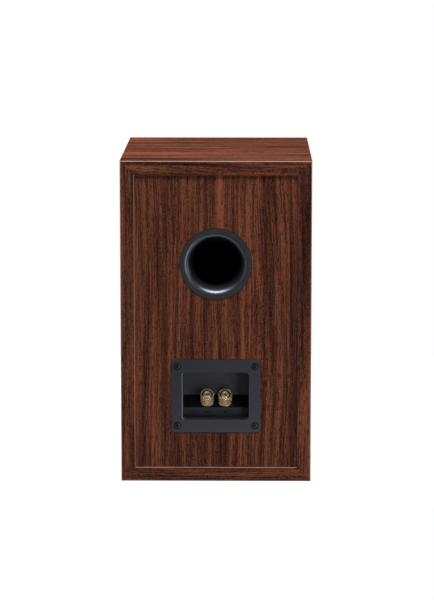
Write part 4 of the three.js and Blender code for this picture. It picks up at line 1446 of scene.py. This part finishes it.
def screw_holes(piece, circle, count, radius, thickness):
    for i in range(count):
        turn = Matrix.Rotation(FULL_TURN * i / count - math.pi / 4, 4, "Z")
        spot = turn @ Vector((circle / 2 * MM, 0, 0))
        start = spot - Z_AXIS * CUT_PAST * MM
        end = spot + Z_AXIS * (thickness + CUT_PAST) * MM
        drill(piece, radius, start, end)


def arc(centre_r, centre_s, radius, start, end, steps):
    """Points of an arc in an outline, by its angles in degrees from the radius."""
    angles = [math.radians(start + (end - start) * i / steps) for i in range(steps + 1)]
    return [(centre_r + radius * math.cos(a), centre_s + radius * math.sin(a)) for a in angles]


def dome(radius, base, rise, steps=12):
    """Points from a dome's edge to its top, which stands out towards the listener."""
    return [(radius * math.cos(a), base - rise * math.sin(a)) for a in quarter(steps)]


def motor(driver, sizes, place, moving, coil, yoke, soft, closed=True):
    """The voice coil, top plate, ring magnet and yoke of a driver."""
    whole(f"{driver}_voice_coil", "wound", coil, place, 64, "copper_wire", moving, "copper")
    steel = ("zinc_steel", "cabinet", "zinc_steel")
    end = sizes.plate_start + sizes.plate_thickness
    plate = hollow(sizes.gap, sizes.plate, sizes.plate_start, end, soft[0])
    whole(f"{driver}_top_plate", "turned", plate, place, 96, *steel)
    end = sizes.magnet_start + sizes.magnet_thickness
    ring = hollow(sizes.magnet_bore, sizes.magnet, sizes.magnet_start, end, soft[1])
    whole(f"{driver}_magnet", "ground", ring, place, 96, "ferrite", "cabinet", "ferrite")
    whole(f"{driver}_yoke", "turned", yoke, place, 96, *steel, closed=closed)


class WOOFER:
    """Radii and depths of the woofer, in millimetres."""

    flange = 73.0
    thickness = 4.0
    sheet = 2.0
    mouth = 59.0
    shelf = 38.0
    shelf_depth = 34.0
    seat_depth = 44.0
    gap = 15.3
    window = (36, 73, 26, 9, 30)  # inner and outer radius, width, front and rear
    windows = 6
    screw_circle = 134
    screw_hole = 2.25
    cone = 51.0
    land = 3.0
    edge_depth = 1.5
    neck = 14.25
    neck_depth = 22.0
    skin = 0.8
    roll = 4.6
    dust_cap = 24.0
    dust_rise = 9.0
    plate_start = 46.25
    plate = 38.0
    plate_thickness = 5.0
    magnet = 40.0
    magnet_bore = 22.0
    magnet_start = 51.5
    magnet_thickness = 15.0
    back_start = 66.75
    pole = 12.5
    vent = 5.0
    coil = 14.0
    former = 0.5
    winding = 0.8
    winding_start = 41.75
    winding_end = 55.75
    winding_turns = 28


def woofer_basket():
    w = WOOFER
    outline = [
        (w.mouth, 0, 0.3),
        (w.flange, 0, 0.6),
        (w.flange, w.thickness, 0.4),
        (w.mouth + w.sheet, w.thickness, 0.8),
        (w.shelf + w.sheet, w.shelf_depth + w.sheet, 1.5),
        (w.shelf + w.sheet, w.seat_depth + w.sheet, 0.6),
        (w.gap, w.seat_depth + w.sheet),
        (w.gap, w.seat_depth),
        (w.shelf, w.seat_depth, 0.6),
        (w.shelf, w.shelf_depth + w.sheet),
        (w.shelf - 2 * w.sheet, w.shelf_depth + w.sheet),
        (w.shelf - 2 * w.sheet, w.shelf_depth),
        (w.shelf, w.shelf_depth, 0.6),
        (w.mouth, w.thickness, 1.2),
    ]
    basket = turned("woofer_basket_pressed", outline, HERE, 96)
    inner, outer, width, front, rear = w.window
    lowest, highest = (inner, -width / 2, front), (outer, width / 2, rear)
    for i in range(w.windows):
        window = rounded_block("window", Vector(lowest) * MM, Vector(highest) * MM, 3, X_AXIS)
        turn = Matrix.Rotation(FULL_TURN * i / w.windows, 4, "Z")
        combine(basket, moved(window, turn))
    screw_holes(basket, w.screw_circle, 4, w.screw_hole, w.thickness)
    moved(basket, driver_place("woofer_basket"))
    painted(basket, "basket_steel")
    smoothed(basket, 35)
    fitted(basket, "cabinet", "black_steel", "woofer_basket")


def surround_outline():
    w = WOOFER
    middle_r = w.mouth + 2 * GAP - w.roll
    inner_r, outer_r = middle_r - w.roll - w.land, middle_r + w.roll + w.land
    front = -GAP - w.skin
    return [
        (inner_r, front, 0.2),
        *arc(middle_r, -GAP, w.roll, 180 + 11, 360 - 11, 18),
        (outer_r, front, 0.2),
        (outer_r, -GAP),
        *arc(middle_r, -GAP, w.roll - w.skin, 360, 180, 18),
        (inner_r, -GAP),
    ]


def spider_outline(waves=3, height=1.4, steps=48):
    w = WOOFER
    inner, outer = w.neck, w.shelf - GAP
    rear = w.shelf_depth - GAP

    def wave(depth):
        shares = [i / steps for i in range(steps + 1)]
        crests = [height / 2 * (1 - math.cos(FULL_TURN * waves * s)) for s in shares]
        return [(inner + (outer - inner) * s, depth - c) for s, c in zip(shares, crests)]

    return wave(rear - w.skin) + wave(rear)[::-1]


def radial_blend(piece, moving_body, centre_point, inner, outer):
    """Bends a ring between the cabinet at its rim and a diaphragm at its bore."""
    rim = centre_point + X_AXIS * outer * MM
    bore = centre_point + X_AXIS * inner * MM
    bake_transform(piece, "cabinet", moving_body, start=rim, end=bore)
    points = np.array([v.co for v in piece.data.vertices], float).reshape(-1, 3)
    radius = np.hypot(points[:, 0] - centre_point.x, points[:, 2] - centre_point.z) / MM
    share_in = np.clip((outer - radius) / (outer - inner), 0, 1)
    weight = share_in * share_in * (3 - 2 * share_in)
    held = piece.data.attributes["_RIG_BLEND"]
    held.data.foreach_set("value", weight.astype(np.float32))


def cone_face(radius):
    """Depth of the cone's front at a radius."""
    w = WOOFER
    edge = w.cone - w.land
    return w.neck_depth * (edge - radius) / (edge - w.neck)


def windings(radius, start, end, turns, groove, share_cut):
    """The outline of round wire, turn beside turn."""
    pitch = (end - start) / turns
    wire = []
    for s in (start + i * pitch for i in range(turns)):
        low_s, high_s = s + pitch * share_cut, s + pitch * (1 - share_cut)
        wire += [(radius - groove, low_s), (radius, s + pitch * 0.5), (radius - groove, high_s)]
    return wire


def coil_outline(radius, former, winding, front, start, end, turns):
    """A former with a winding of round wire."""
    wire = windings(radius + winding, start, end, turns, 0.08, 0.1)
    inside = radius - former
    outline = [(inside, front), (radius, front), (radius, start), *wire]
    return outline + [(radius + winding - 0.1, end), (inside, end)]


class SPEAKER_OT_woofer(bpy.types.Operator):
    """Make the woofer: basket, surround, cone, dust cap, spider, coil and motor"""

    bl_idname = "speaker.woofer"
    bl_label = "Woofer"

    def execute(self, context):
        w = WOOFER
        place = driver_place("woofer_cone")
        moving = "woofer_diaphragm"
        woofer_basket()

        surround = turned("woofer_surround_moulded", surround_outline(), place, 96)
        stands_for(painted(surround, "rubber"), "rubber", "woofer_surround")
        rim = w.mouth + 2 * GAP
        radial_blend(surround, moving, place.translation, rim - 2 * w.roll, rim)

        cone = [
            (w.neck, w.neck_depth),
            (w.neck, w.neck_depth + w.skin),
            (w.cone, w.edge_depth),
            (w.cone, 0),
            (w.cone - w.land, 0),
            (w.cone - w.land - 8, cone_face(w.cone - w.land - 8) + 0.15),
            (w.neck + 8, cone_face(w.neck + 8) + 0.1),
        ]
        whole("woofer_cone", "pressed", cone, place, 96, "cone_paper", moving, "cone_paper")
        base = cone_face(w.dust_cap) - GAP
        outside = dome(w.dust_cap, base, w.dust_rise)
        cap = outside[::-1] + dome(w.dust_cap - w.skin, base, w.dust_rise - w.skin)
        whole("woofer_dust_cap", "pressed", cap, place, 64, "cone_paper", moving, "cone_paper")

        spider = turned("woofer_spider_pressed", spider_outline(), place, 96)
        painted(flat_map(spider), "spider_cloth")
        stands_for(spider, "spider_cloth", "woofer_spider")
        radial_blend(spider, moving, place.translation, w.neck + 1, w.shelf - 2)

        winding = (w.winding_start, w.winding_end, w.winding_turns)
        coil = coil_outline(w.coil, w.former, w.winding, w.neck_depth, *winding)
        yoke = [
            (w.vent, w.plate_start, 0.6),
            (w.pole, w.plate_start, 0.6),
            (w.pole, w.back_start, 0.8),
            (w.plate, w.back_start, 0.5),
            (w.plate, w.back_start + w.plate_thickness, 1.2),
            (w.vent, w.back_start + w.plate_thickness, 2.0),
        ]
        motor("woofer", w, place, moving, coil, yoke, (0.5, 1.2))
        return {"FINISHED"}


class TWEETER:
    """Radii and depths of the tweeter, in millimetres."""

    flange = 47.0
    thickness = 4.0
    screw_circle = 82
    screw_hole = 2.0
    mouth = 24.0
    throat = 17.0
    lip = 0.5
    dome = 12.7
    rise = 6.0
    skin = 0.5
    roll = 1.8
    base = 4.25
    plate_start = 5.0
    plate = 30.0
    plate_thickness = 4.0
    gap = 13.7
    magnet = 32.0
    magnet_bore = 18.0
    magnet_start = 9.25
    magnet_thickness = 10.0
    back_start = 19.5
    pole = 11.8
    former = 0.4
    winding = 0.5
    coil_end = 10.0
    winding_turns = 12


class SPEAKER_OT_tweeter(bpy.types.Operator):
    """Make the tweeter: faceplate, silk dome, coil and motor"""

    bl_idname = "speaker.tweeter"
    bl_label = "Tweeter"

    def execute(self, context):
        t = TWEETER
        place = driver_place("tweeter_faceplate")
        moving = "tweeter_diaphragm"
        horn = flared(t.mouth, t.throat, t.thickness - t.lip, 12)
        rim = [(t.flange, 0, 0.8), (t.flange, t.thickness, 0.3)]
        outline = [(t.throat, t.thickness), *horn[::-1], *rim]
        plate = turned("tweeter_faceplate_moulded", outline, HERE, 96)
        screw_holes(plate, t.screw_circle, 3, t.screw_hole, t.thickness)
        moved(plate, place)
        painted(plate, "black_plastic")
        smoothed(plate, 35)
        fitted(plate, "cabinet", "black_plastic", "tweeter_faceplate")

        land, rear = t.dome + 3 * t.roll, t.base + t.skin
        outline = [
            *dome(t.dome, t.base, t.rise)[::-1],
            *arc(t.dome + t.roll, t.base, t.roll, 180, 360, 12)[1:],
            (land, t.base),
            (land, rear),
            (t.dome - t.skin, rear),
            *dome(t.dome - t.skin, t.base, t.rise - t.skin)[1:],
        ]
        silk = turned("tweeter_dome_pressed", outline, place, 96, closed=False)
        painted(flat_map(silk), "dome_silk")
        stands_for(silk, "dome_silk", "tweeter_dome")
        radial_blend(silk, moving, place.translation, t.dome, t.dome + 2 * t.roll)

        start = rear + GAP
        winding = (start, start + 0.5, t.coil_end, t.winding_turns)
        coil = coil_outline(t.dome, t.former, t.winding, *winding)
        back = t.back_start + t.plate_thickness
        yoke = [
            (0, t.plate_start),
            (t.pole, t.plate_start, 0.5),
            (t.pole, t.back_start, 0.6),
            (t.plate, t.back_start, 0.4),
            (t.plate, back, 1.0),
            (0, back),
        ]
        motor("tweeter", t, place, moving, coil, yoke, (0.4, 1), closed=False)
        return {"FINISHED"}


class SPEAKER_OT_driver_screws(bpy.types.Operator):
    """Make the screws that hold both drivers"""

    bl_idname = "speaker.driver_screws"
    bl_label = "Driver screws"

    def execute(self, context):
        for driver, count, sizes, twist in (
            ("woofer", 4, (8, 2, 4, 16), 53),
            ("tweeter", 3, (6.5, 1.5, 3.5, 14), 41),
        ):
            nodes = [f"{driver}_screw_{i}" for i in range(1, count + 1)]
            height = sizes[1] * MM
            screws(nodes, sizes, ALONG_FRONT, lambda n, h=height: low(n).y + h, twist)
        return {"FINISHED"}


# ------------------------------------------------------------------ crossover and leads

BOARD_SCREW_EDGE = 6  # mm from the board's edges to its screw holes
# Bore, flange, winding radius, height and turns of each inductor.
INDUCTORS = {"woofer_inductor": (8, 1.5, 19, 22, 17), "tweeter_inductor": (6, 1.25, 12, 14, 14)}
CAPACITOR = (19, 8)  # half its length, and its radius


def wound_bobbin(node, bore, flange, body, height, turns):
    """A plastic bobbin and the copper wound on it, as two finishes of one piece."""
    lip = body + 2
    base = middle(node)
    base.z = low(node).z
    outline = [
        (bore, 0, 0.4),
        (lip, 0, 0.4),
        (lip, flange, 0.4),
        *windings(body, flange, height - flange, turns, 0.25, 0.08),
        (lip, height - flange, 0.4),
        (lip, height, 0.4),
        (bore, height, 0.4),
    ]
    coil = turned(f"{node}_wound", outline, at(base))
    painted(coil, "bobbin_plastic", "copper_wire")

    def wound(face):
        spot = (face.calc_center_median() - base) / MM
        return flange < spot.z < height - flange and body - 1 < spot.xy.length < body + 0.1

    with editing(coil):
        select(coil, "FACE", wound)
        coil.active_material_index = 1
        bpy.ops.object.material_slot_assign()
    fitted(coil, "cabinet", "copper", node)


class SPEAKER_OT_crossover(bpy.types.Operator):
    """Make the crossover: its board, two inductors and a capacitor"""

    bl_idname = "speaker.crossover"
    bl_label = "Crossover"

    def execute(self, context):
        lowest, highest = low("crossover_board"), high("crossover_board")
        board = rounded_block("crossover_board_cut", lowest, highest, 4, Z_AXIS)
        bevel(board, lambda edge: not along(edge, Z_AXIS), 0.3, 2)
        edge = BOARD_SCREW_EDGE * MM
        for x in (lowest.x + edge, highest.x - edge):
            for y in (lowest.y + edge, highest.y - edge):
                start = Vector((x, y, lowest.z - MM))
                drill(board, 2, start, start + Z_AXIS * 6 * MM)
        painted(board, "circuit_board")
        smoothed(board)
        fitted(board, "cabinet", "hardboard", "crossover_board")
        for node, sizes in INDUCTORS.items():
            wound_bobbin(node, *sizes)
        half, radius = CAPACITOR
        outline = [
            (0, -half),
            (radius * 0.72, -half, 0.6),
            (radius * 0.8, -half + 1.2),
            (radius, -half + 1.2, 0.8),
            (radius, half - 1.2, 0.8),
            (radius * 0.8, half - 1.2),
            (radius * 0.72, half, 0.6),
            (0, half),
        ]
        place = at(middle("tweeter_capacitor"), Matrix.Rotation(math.pi / 2, 4, "Y"))
        film = ("capacitor_film", "cabinet", "film")
        whole("tweeter_capacitor", "wrapped", outline, place, 64, *film, closed=False)
        return {"FINISHED"}


class SPEAKER_OT_leads(bpy.types.Operator):
    """Sheathe the three leads inside the cabinet"""

    bl_idname = "speaker.leads"
    bl_label = "Leads"

    def execute(self, context):
        for node in ("input_lead", "woofer_lead", "tweeter_lead"):
            dress(node, "cable_red")
        return {"FINISHED"}


# ------------------------------------------------------------------ grille


class GRILLE:
    """Sizes of the grille, in millimetres."""

    wrap = 1.0  # from the frame to the outside of the cloth
    cloth = 0.75
    window = (73, 143)  # half its width and height
    window_corner = 10
    socket = 5.5
    socket_bore = 3.75
    socket_floor = 2
    peg = [
        (0, -3),
        (4.6, -3),
        (4.6, 0.15, 0.5),
        (3.5, 0.15, 0.4),
        (3.5, 5.5),
        (3.3, 6.5),
        (3.5, 7.4),
        (3.1, 9.2, 0.8),
        (0, 9.2),
    ]


class SPEAKER_OT_grille(bpy.types.Operator):
    """Make the grille: frame with pegs, stretched cloth and rubber sockets"""

    bl_idname = "speaker.grille"
    bl_label = "Grille"

    def execute(self, context):
        sockets = [f"grille_socket_{i}" for i in range(1, 5)]
        self.frame(sockets)
        self.cloth()
        for node in sockets:
            self.socket(node)
        return {"FINISHED"}

    def frame(self, sockets):
        """A moulded frame with a window and a peg for every socket."""
        inset = Vector((1, 0, 1)) * GRILLE.wrap * MM
        lowest, highest = low("grille_cloth") + inset, high("grille_cloth") - inset
        lowest.y += GRILLE.wrap * MM
        grille = rounded_block("grille_frame_moulded", lowest, highest, 3, Y_AXIS)
        mid = middle("grille_cloth")
        half_x, half_z = (half * MM for half in GRILLE.window)
        window_low = (mid.x - half_x, lowest.y - MM, mid.z - half_z)
        window_high = (mid.x + half_x, highest.y + MM, mid.z + half_z)
        corner = GRILLE.window_corner
        window = rounded_block("grille_window", window_low, window_high, corner, Y_AXIS, 8)
        combine(grille, window)
        bevel(grille, lambda edge: not along(edge, Y_AXIS), 0.8, 3)
        pegs = []
        for node in sockets:
            place = middle(node)
            place.y = highest.y
            pegs.append(turned("peg", GRILLE.peg, at(place, ALONG_REAR), 32, closed=False))
        for peg in pegs:
            combine(grille, peg, "UNION")
        painted(grille, "frame_plastic")
        smoothed(grille, 35)
        fitted(grille, "grille", "black_plastic", "grille_frame")

    def cloth(self):
        """One cloth, stretched over the frame's face and wrapped round its edges."""
        lowest, highest = low("grille_cloth"), high("grille_cloth")
        cloth = block("grille_cloth_stretched", lowest, highest)
        with editing(cloth):
            select(cloth, "FACE", lambda face: near(face.calc_center_median().y, highest.y))
            bpy.ops.mesh.delete(type="FACE")
        bevel(cloth, lambda edge: along(edge, Y_AXIS), 4, 6)
        bevel(cloth, lambda edge: near(centre(edge).y, lowest.y), 1.5, 4)
        with_modifier(cloth, "SOLIDIFY", thickness=GRILLE.cloth * MM, offset=-1)
        painted(flat_map(cloth), "grille_weave")
        smoothed(cloth, 35)
        fitted(cloth, "grille", "cloth", "grille_cloth")
        width, turn_in, height = span("grille_cloth")

    def socket(self, node):
        """A rubber cup that grips a peg."""
        outer, bore, depth = GRILLE.socket, GRILLE.socket_bore, span(node).y / MM
        floor = depth - GRILLE.socket_floor
        outline = [(bore, 0, 0.5), (outer, 0, 0.5), (outer, depth, 0.8), (0, depth)]
        outline += [(0, floor), (bore, floor)]
        rubber = ("socket_rubber", "cabinet", "rubber")
        whole(node, "moulded", outline, driver_place(node), 32, *rubber)


# ------------------------------------------------------------------ stage


def towards(azimuth, elevation):
    """A direction by its angle from the rear towards +X and its height."""
    azimuth, elevation = math.radians(azimuth), math.radians(elevation)
    level = math.cos(elevation)
    return Vector((math.sin(azimuth) * level, math.cos(azimuth) * level, math.sin(elevation)))


# Each lamp: where it stands from the object's middle, its width, height and power setting.
LAMPS = {
    "key_strip": (towards(-30, -9) * 1.2, 0.42, 0.78, "key_power"),
    "front_softbox": (towards(-2, 70) * 1.7, 1.3, 0.4, "front_power"),
    "top_softbox": (Vector((-0.1, -0.25, 1.3)), 1.0, 0.6, "top_power"),
    "side_strip": (towards(-75, 6) * 1.6, 0.2, 0.8, "side_power"),
    "fill_strip": (towards(42, 0) * 1.2, 0.34, 0.78, "fill_power"),
    "left_wing": (towards(120, 8) * 1.7, 0.8, 0.9, "wing_power"),
    "right_wing": (towards(-120, 8) * 1.7, 0.8, 0.9, "wing_power"),
}
FLOOR_SIZE = 0.84
FLOOR_MIDDLE_Y = -0.18
CAMERA_PLACE = Vector((-0.0322, 2.7504, 0.6229))
CAMERA_TARGET = Vector((-0.00113, 0.1301, 0.1941))
CAMERA_LENS = 152.4
CAMERA_SENSOR = 36


def seen_directly(graph):
    """1 for rays from the camera, or seen in metal or through clear plastic."""
    rays = graph.node("ShaderNodeLightPath").outputs
    seen = Value(graph, rays["Is Camera Ray"])
    seen = seen + Value(graph, rays["Is Glossy Ray"])
    seen = seen + Value(graph, rays["Is Transmission Ray"])
    return graph.math("MINIMUM", seen, 1)


def facing(item, target):
    """Turns a lamp or the camera to look at a point."""
    item.rotation_euler = (target - item.location).to_track_quat("-Z", "Y").to_euler()


class SPEAKER_OT_stage(bpy.types.Operator):
    """Set up the pale floor, the studio lights and the camera"""

    bl_idname = "speaker.stage"
    bl_label = "Stage"

    def execute(self, context):
        look = context.scene.speaker_stage
        self.floor()
        self.world(look)
        for name, (way, width, height, setting) in LAMPS.items():
            self.softbox(name, way, width, height, getattr(look, setting))
        self.camera()
        context.scene.view_settings.view_transform = "Standard"
        return {"FINISHED"}

    def softbox(self, name, way, width, height, watts):
        bpy.ops.object.select_all(action="DESELECT")
        bpy.ops.object.light_add(type="AREA", location=CAD_MIDDLE + way)
        lamp = bpy.context.object
        lamp.name = name
        facing(lamp, CAD_MIDDLE)
        lamp.data.shape = "RECTANGLE"
        lamp.data.size, lamp.data.size_y, lamp.data.energy = width, height, watts

    def floor(self):
        """White where it is seen, with a faint diffuse surface that keeps the shadow."""
        bpy.ops.object.select_all(action="DESELECT")
        place = (0, FLOOR_MIDDLE_Y, CAD_BOX[0][2])
        bpy.ops.mesh.primitive_plane_add(size=FLOOR_SIZE, location=place)
        floor = settled("studio_floor")
        pale = Finish("studio_pale", Roughness=0.9, Specular_IOR_Level=0.0)
        pale.shader.inputs["Base Color"].default_value = (0.2, 0.2, 0.2, 1)
        glow = pale.node("ShaderNodeEmission", (), {"Color": (1, 1, 1, 1), "Strength": 0.97})
        dim = pale.node("ShaderNodeBsdfDiffuse", (), {"Color": (0.12, 0.12, 0.12, 1)})
        both = pale.node("ShaderNodeAddShader", (), {0: glow.outputs[0], 1: dim.outputs[0]})
        sockets = {0: seen_directly(pale), 1: pale.shader.outputs[0], 2: both.outputs[0]}
        switch = pale.node("ShaderNodeMixShader", (), sockets)
        output = next(n for n in pale.nodes if n.type == "OUTPUT_MATERIAL")
        pale.links.new(switch.outputs[0], output.inputs["Surface"])
        floor.data.materials.append(pale.material)
        floor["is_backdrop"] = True

    def world(self, look):
        """White wherever it is seen, but gloss shows a dim room under a white ceiling."""
        world = bpy.data.worlds.new("studio")
        bpy.context.scene.world = world
        world.use_nodes = True
        sky = Graph(world.node_tree)
        background = next(n for n in sky.nodes if n.type == "BACKGROUND")
        background.inputs["Color"].default_value = (1, 1, 1, 1)
        rays = sky.node("ShaderNodeLightPath").outputs
        around = 1 - sky.step(sky.place("Generated")[2] * MM, 0.6, 0.9)
        clear = 1 - Value(sky, rays["Is Transmission Ray"])
        dimmed = Value(sky, rays["Is Glossy Ray"]) * clear * around * (1 - look.room)
        strength = seen_directly(sky) * (1 - look.ambient) + look.ambient - dimmed
        sky.links.new(strength.socket, background.inputs["Strength"])

    def camera(self):
        bpy.ops.object.camera_add(location=CAMERA_PLACE)
        camera = bpy.context.object
        camera.name = "studio_camera"
        facing(camera, CAMERA_TARGET)
        camera.data.sensor_fit = "VERTICAL"
        camera.data.sensor_height = CAMERA_SENSOR
        camera.data.lens = CAMERA_LENS
        bpy.context.scene.camera = camera


# ------------------------------------------------------------------ panel and run

OPERATORS = (
    SPEAKER_OT_stage,
    SPEAKER_OT_boards,
    SPEAKER_OT_rear_panel,
    SPEAKER_OT_front_baffle,
    SPEAKER_OT_lining,
    SPEAKER_OT_port,
    SPEAKER_OT_terminal_cup,
    SPEAKER_OT_cup_screws,
    SPEAKER_OT_binding_posts,
    SPEAKER_OT_woofer,
    SPEAKER_OT_tweeter,
    SPEAKER_OT_driver_screws,
    SPEAKER_OT_crossover,
    SPEAKER_OT_leads,
    SPEAKER_OT_grille,
)


class SPEAKER_PT_sidebar(bpy.types.Panel):
    """Everything the speaker is made of"""

    bl_label = "Bookshelf speaker"
    bl_idname = "SPEAKER_PT_sidebar"
    bl_space_type = "VIEW_3D"
    bl_region_type = "UI"
    bl_category = "Speaker"

    def draw(self, context):
        for name, group in SETTINGS.items():
            box = self.layout.box()
            for setting in group.__annotations__:
                box.prop(getattr(context.scene, name), setting)
        for operator in OPERATORS:
            self.layout.operator(operator.bl_idname)


def register():
    for name, group in SETTINGS.items():
        bpy.utils.register_class(group)
        setattr(bpy.types.Scene, name, bpy.props.PointerProperty(type=group))
    for operator in OPERATORS:
        bpy.utils.register_class(operator)
    bpy.utils.register_class(SPEAKER_PT_sidebar)


def unregister():
    bpy.utils.unregister_class(SPEAKER_PT_sidebar)
    for operator in reversed(OPERATORS):
        bpy.utils.unregister_class(operator)
    for name, group in SETTINGS.items():
        delattr(bpy.types.Scene, name)
        bpy.utils.unregister_class(group)


def main():
    register()
    for operator in OPERATORS:
        group, _, action = operator.bl_idname.partition(".")
        getattr(getattr(bpy.ops, group), action)()


if __name__ == "__main__":
    main()
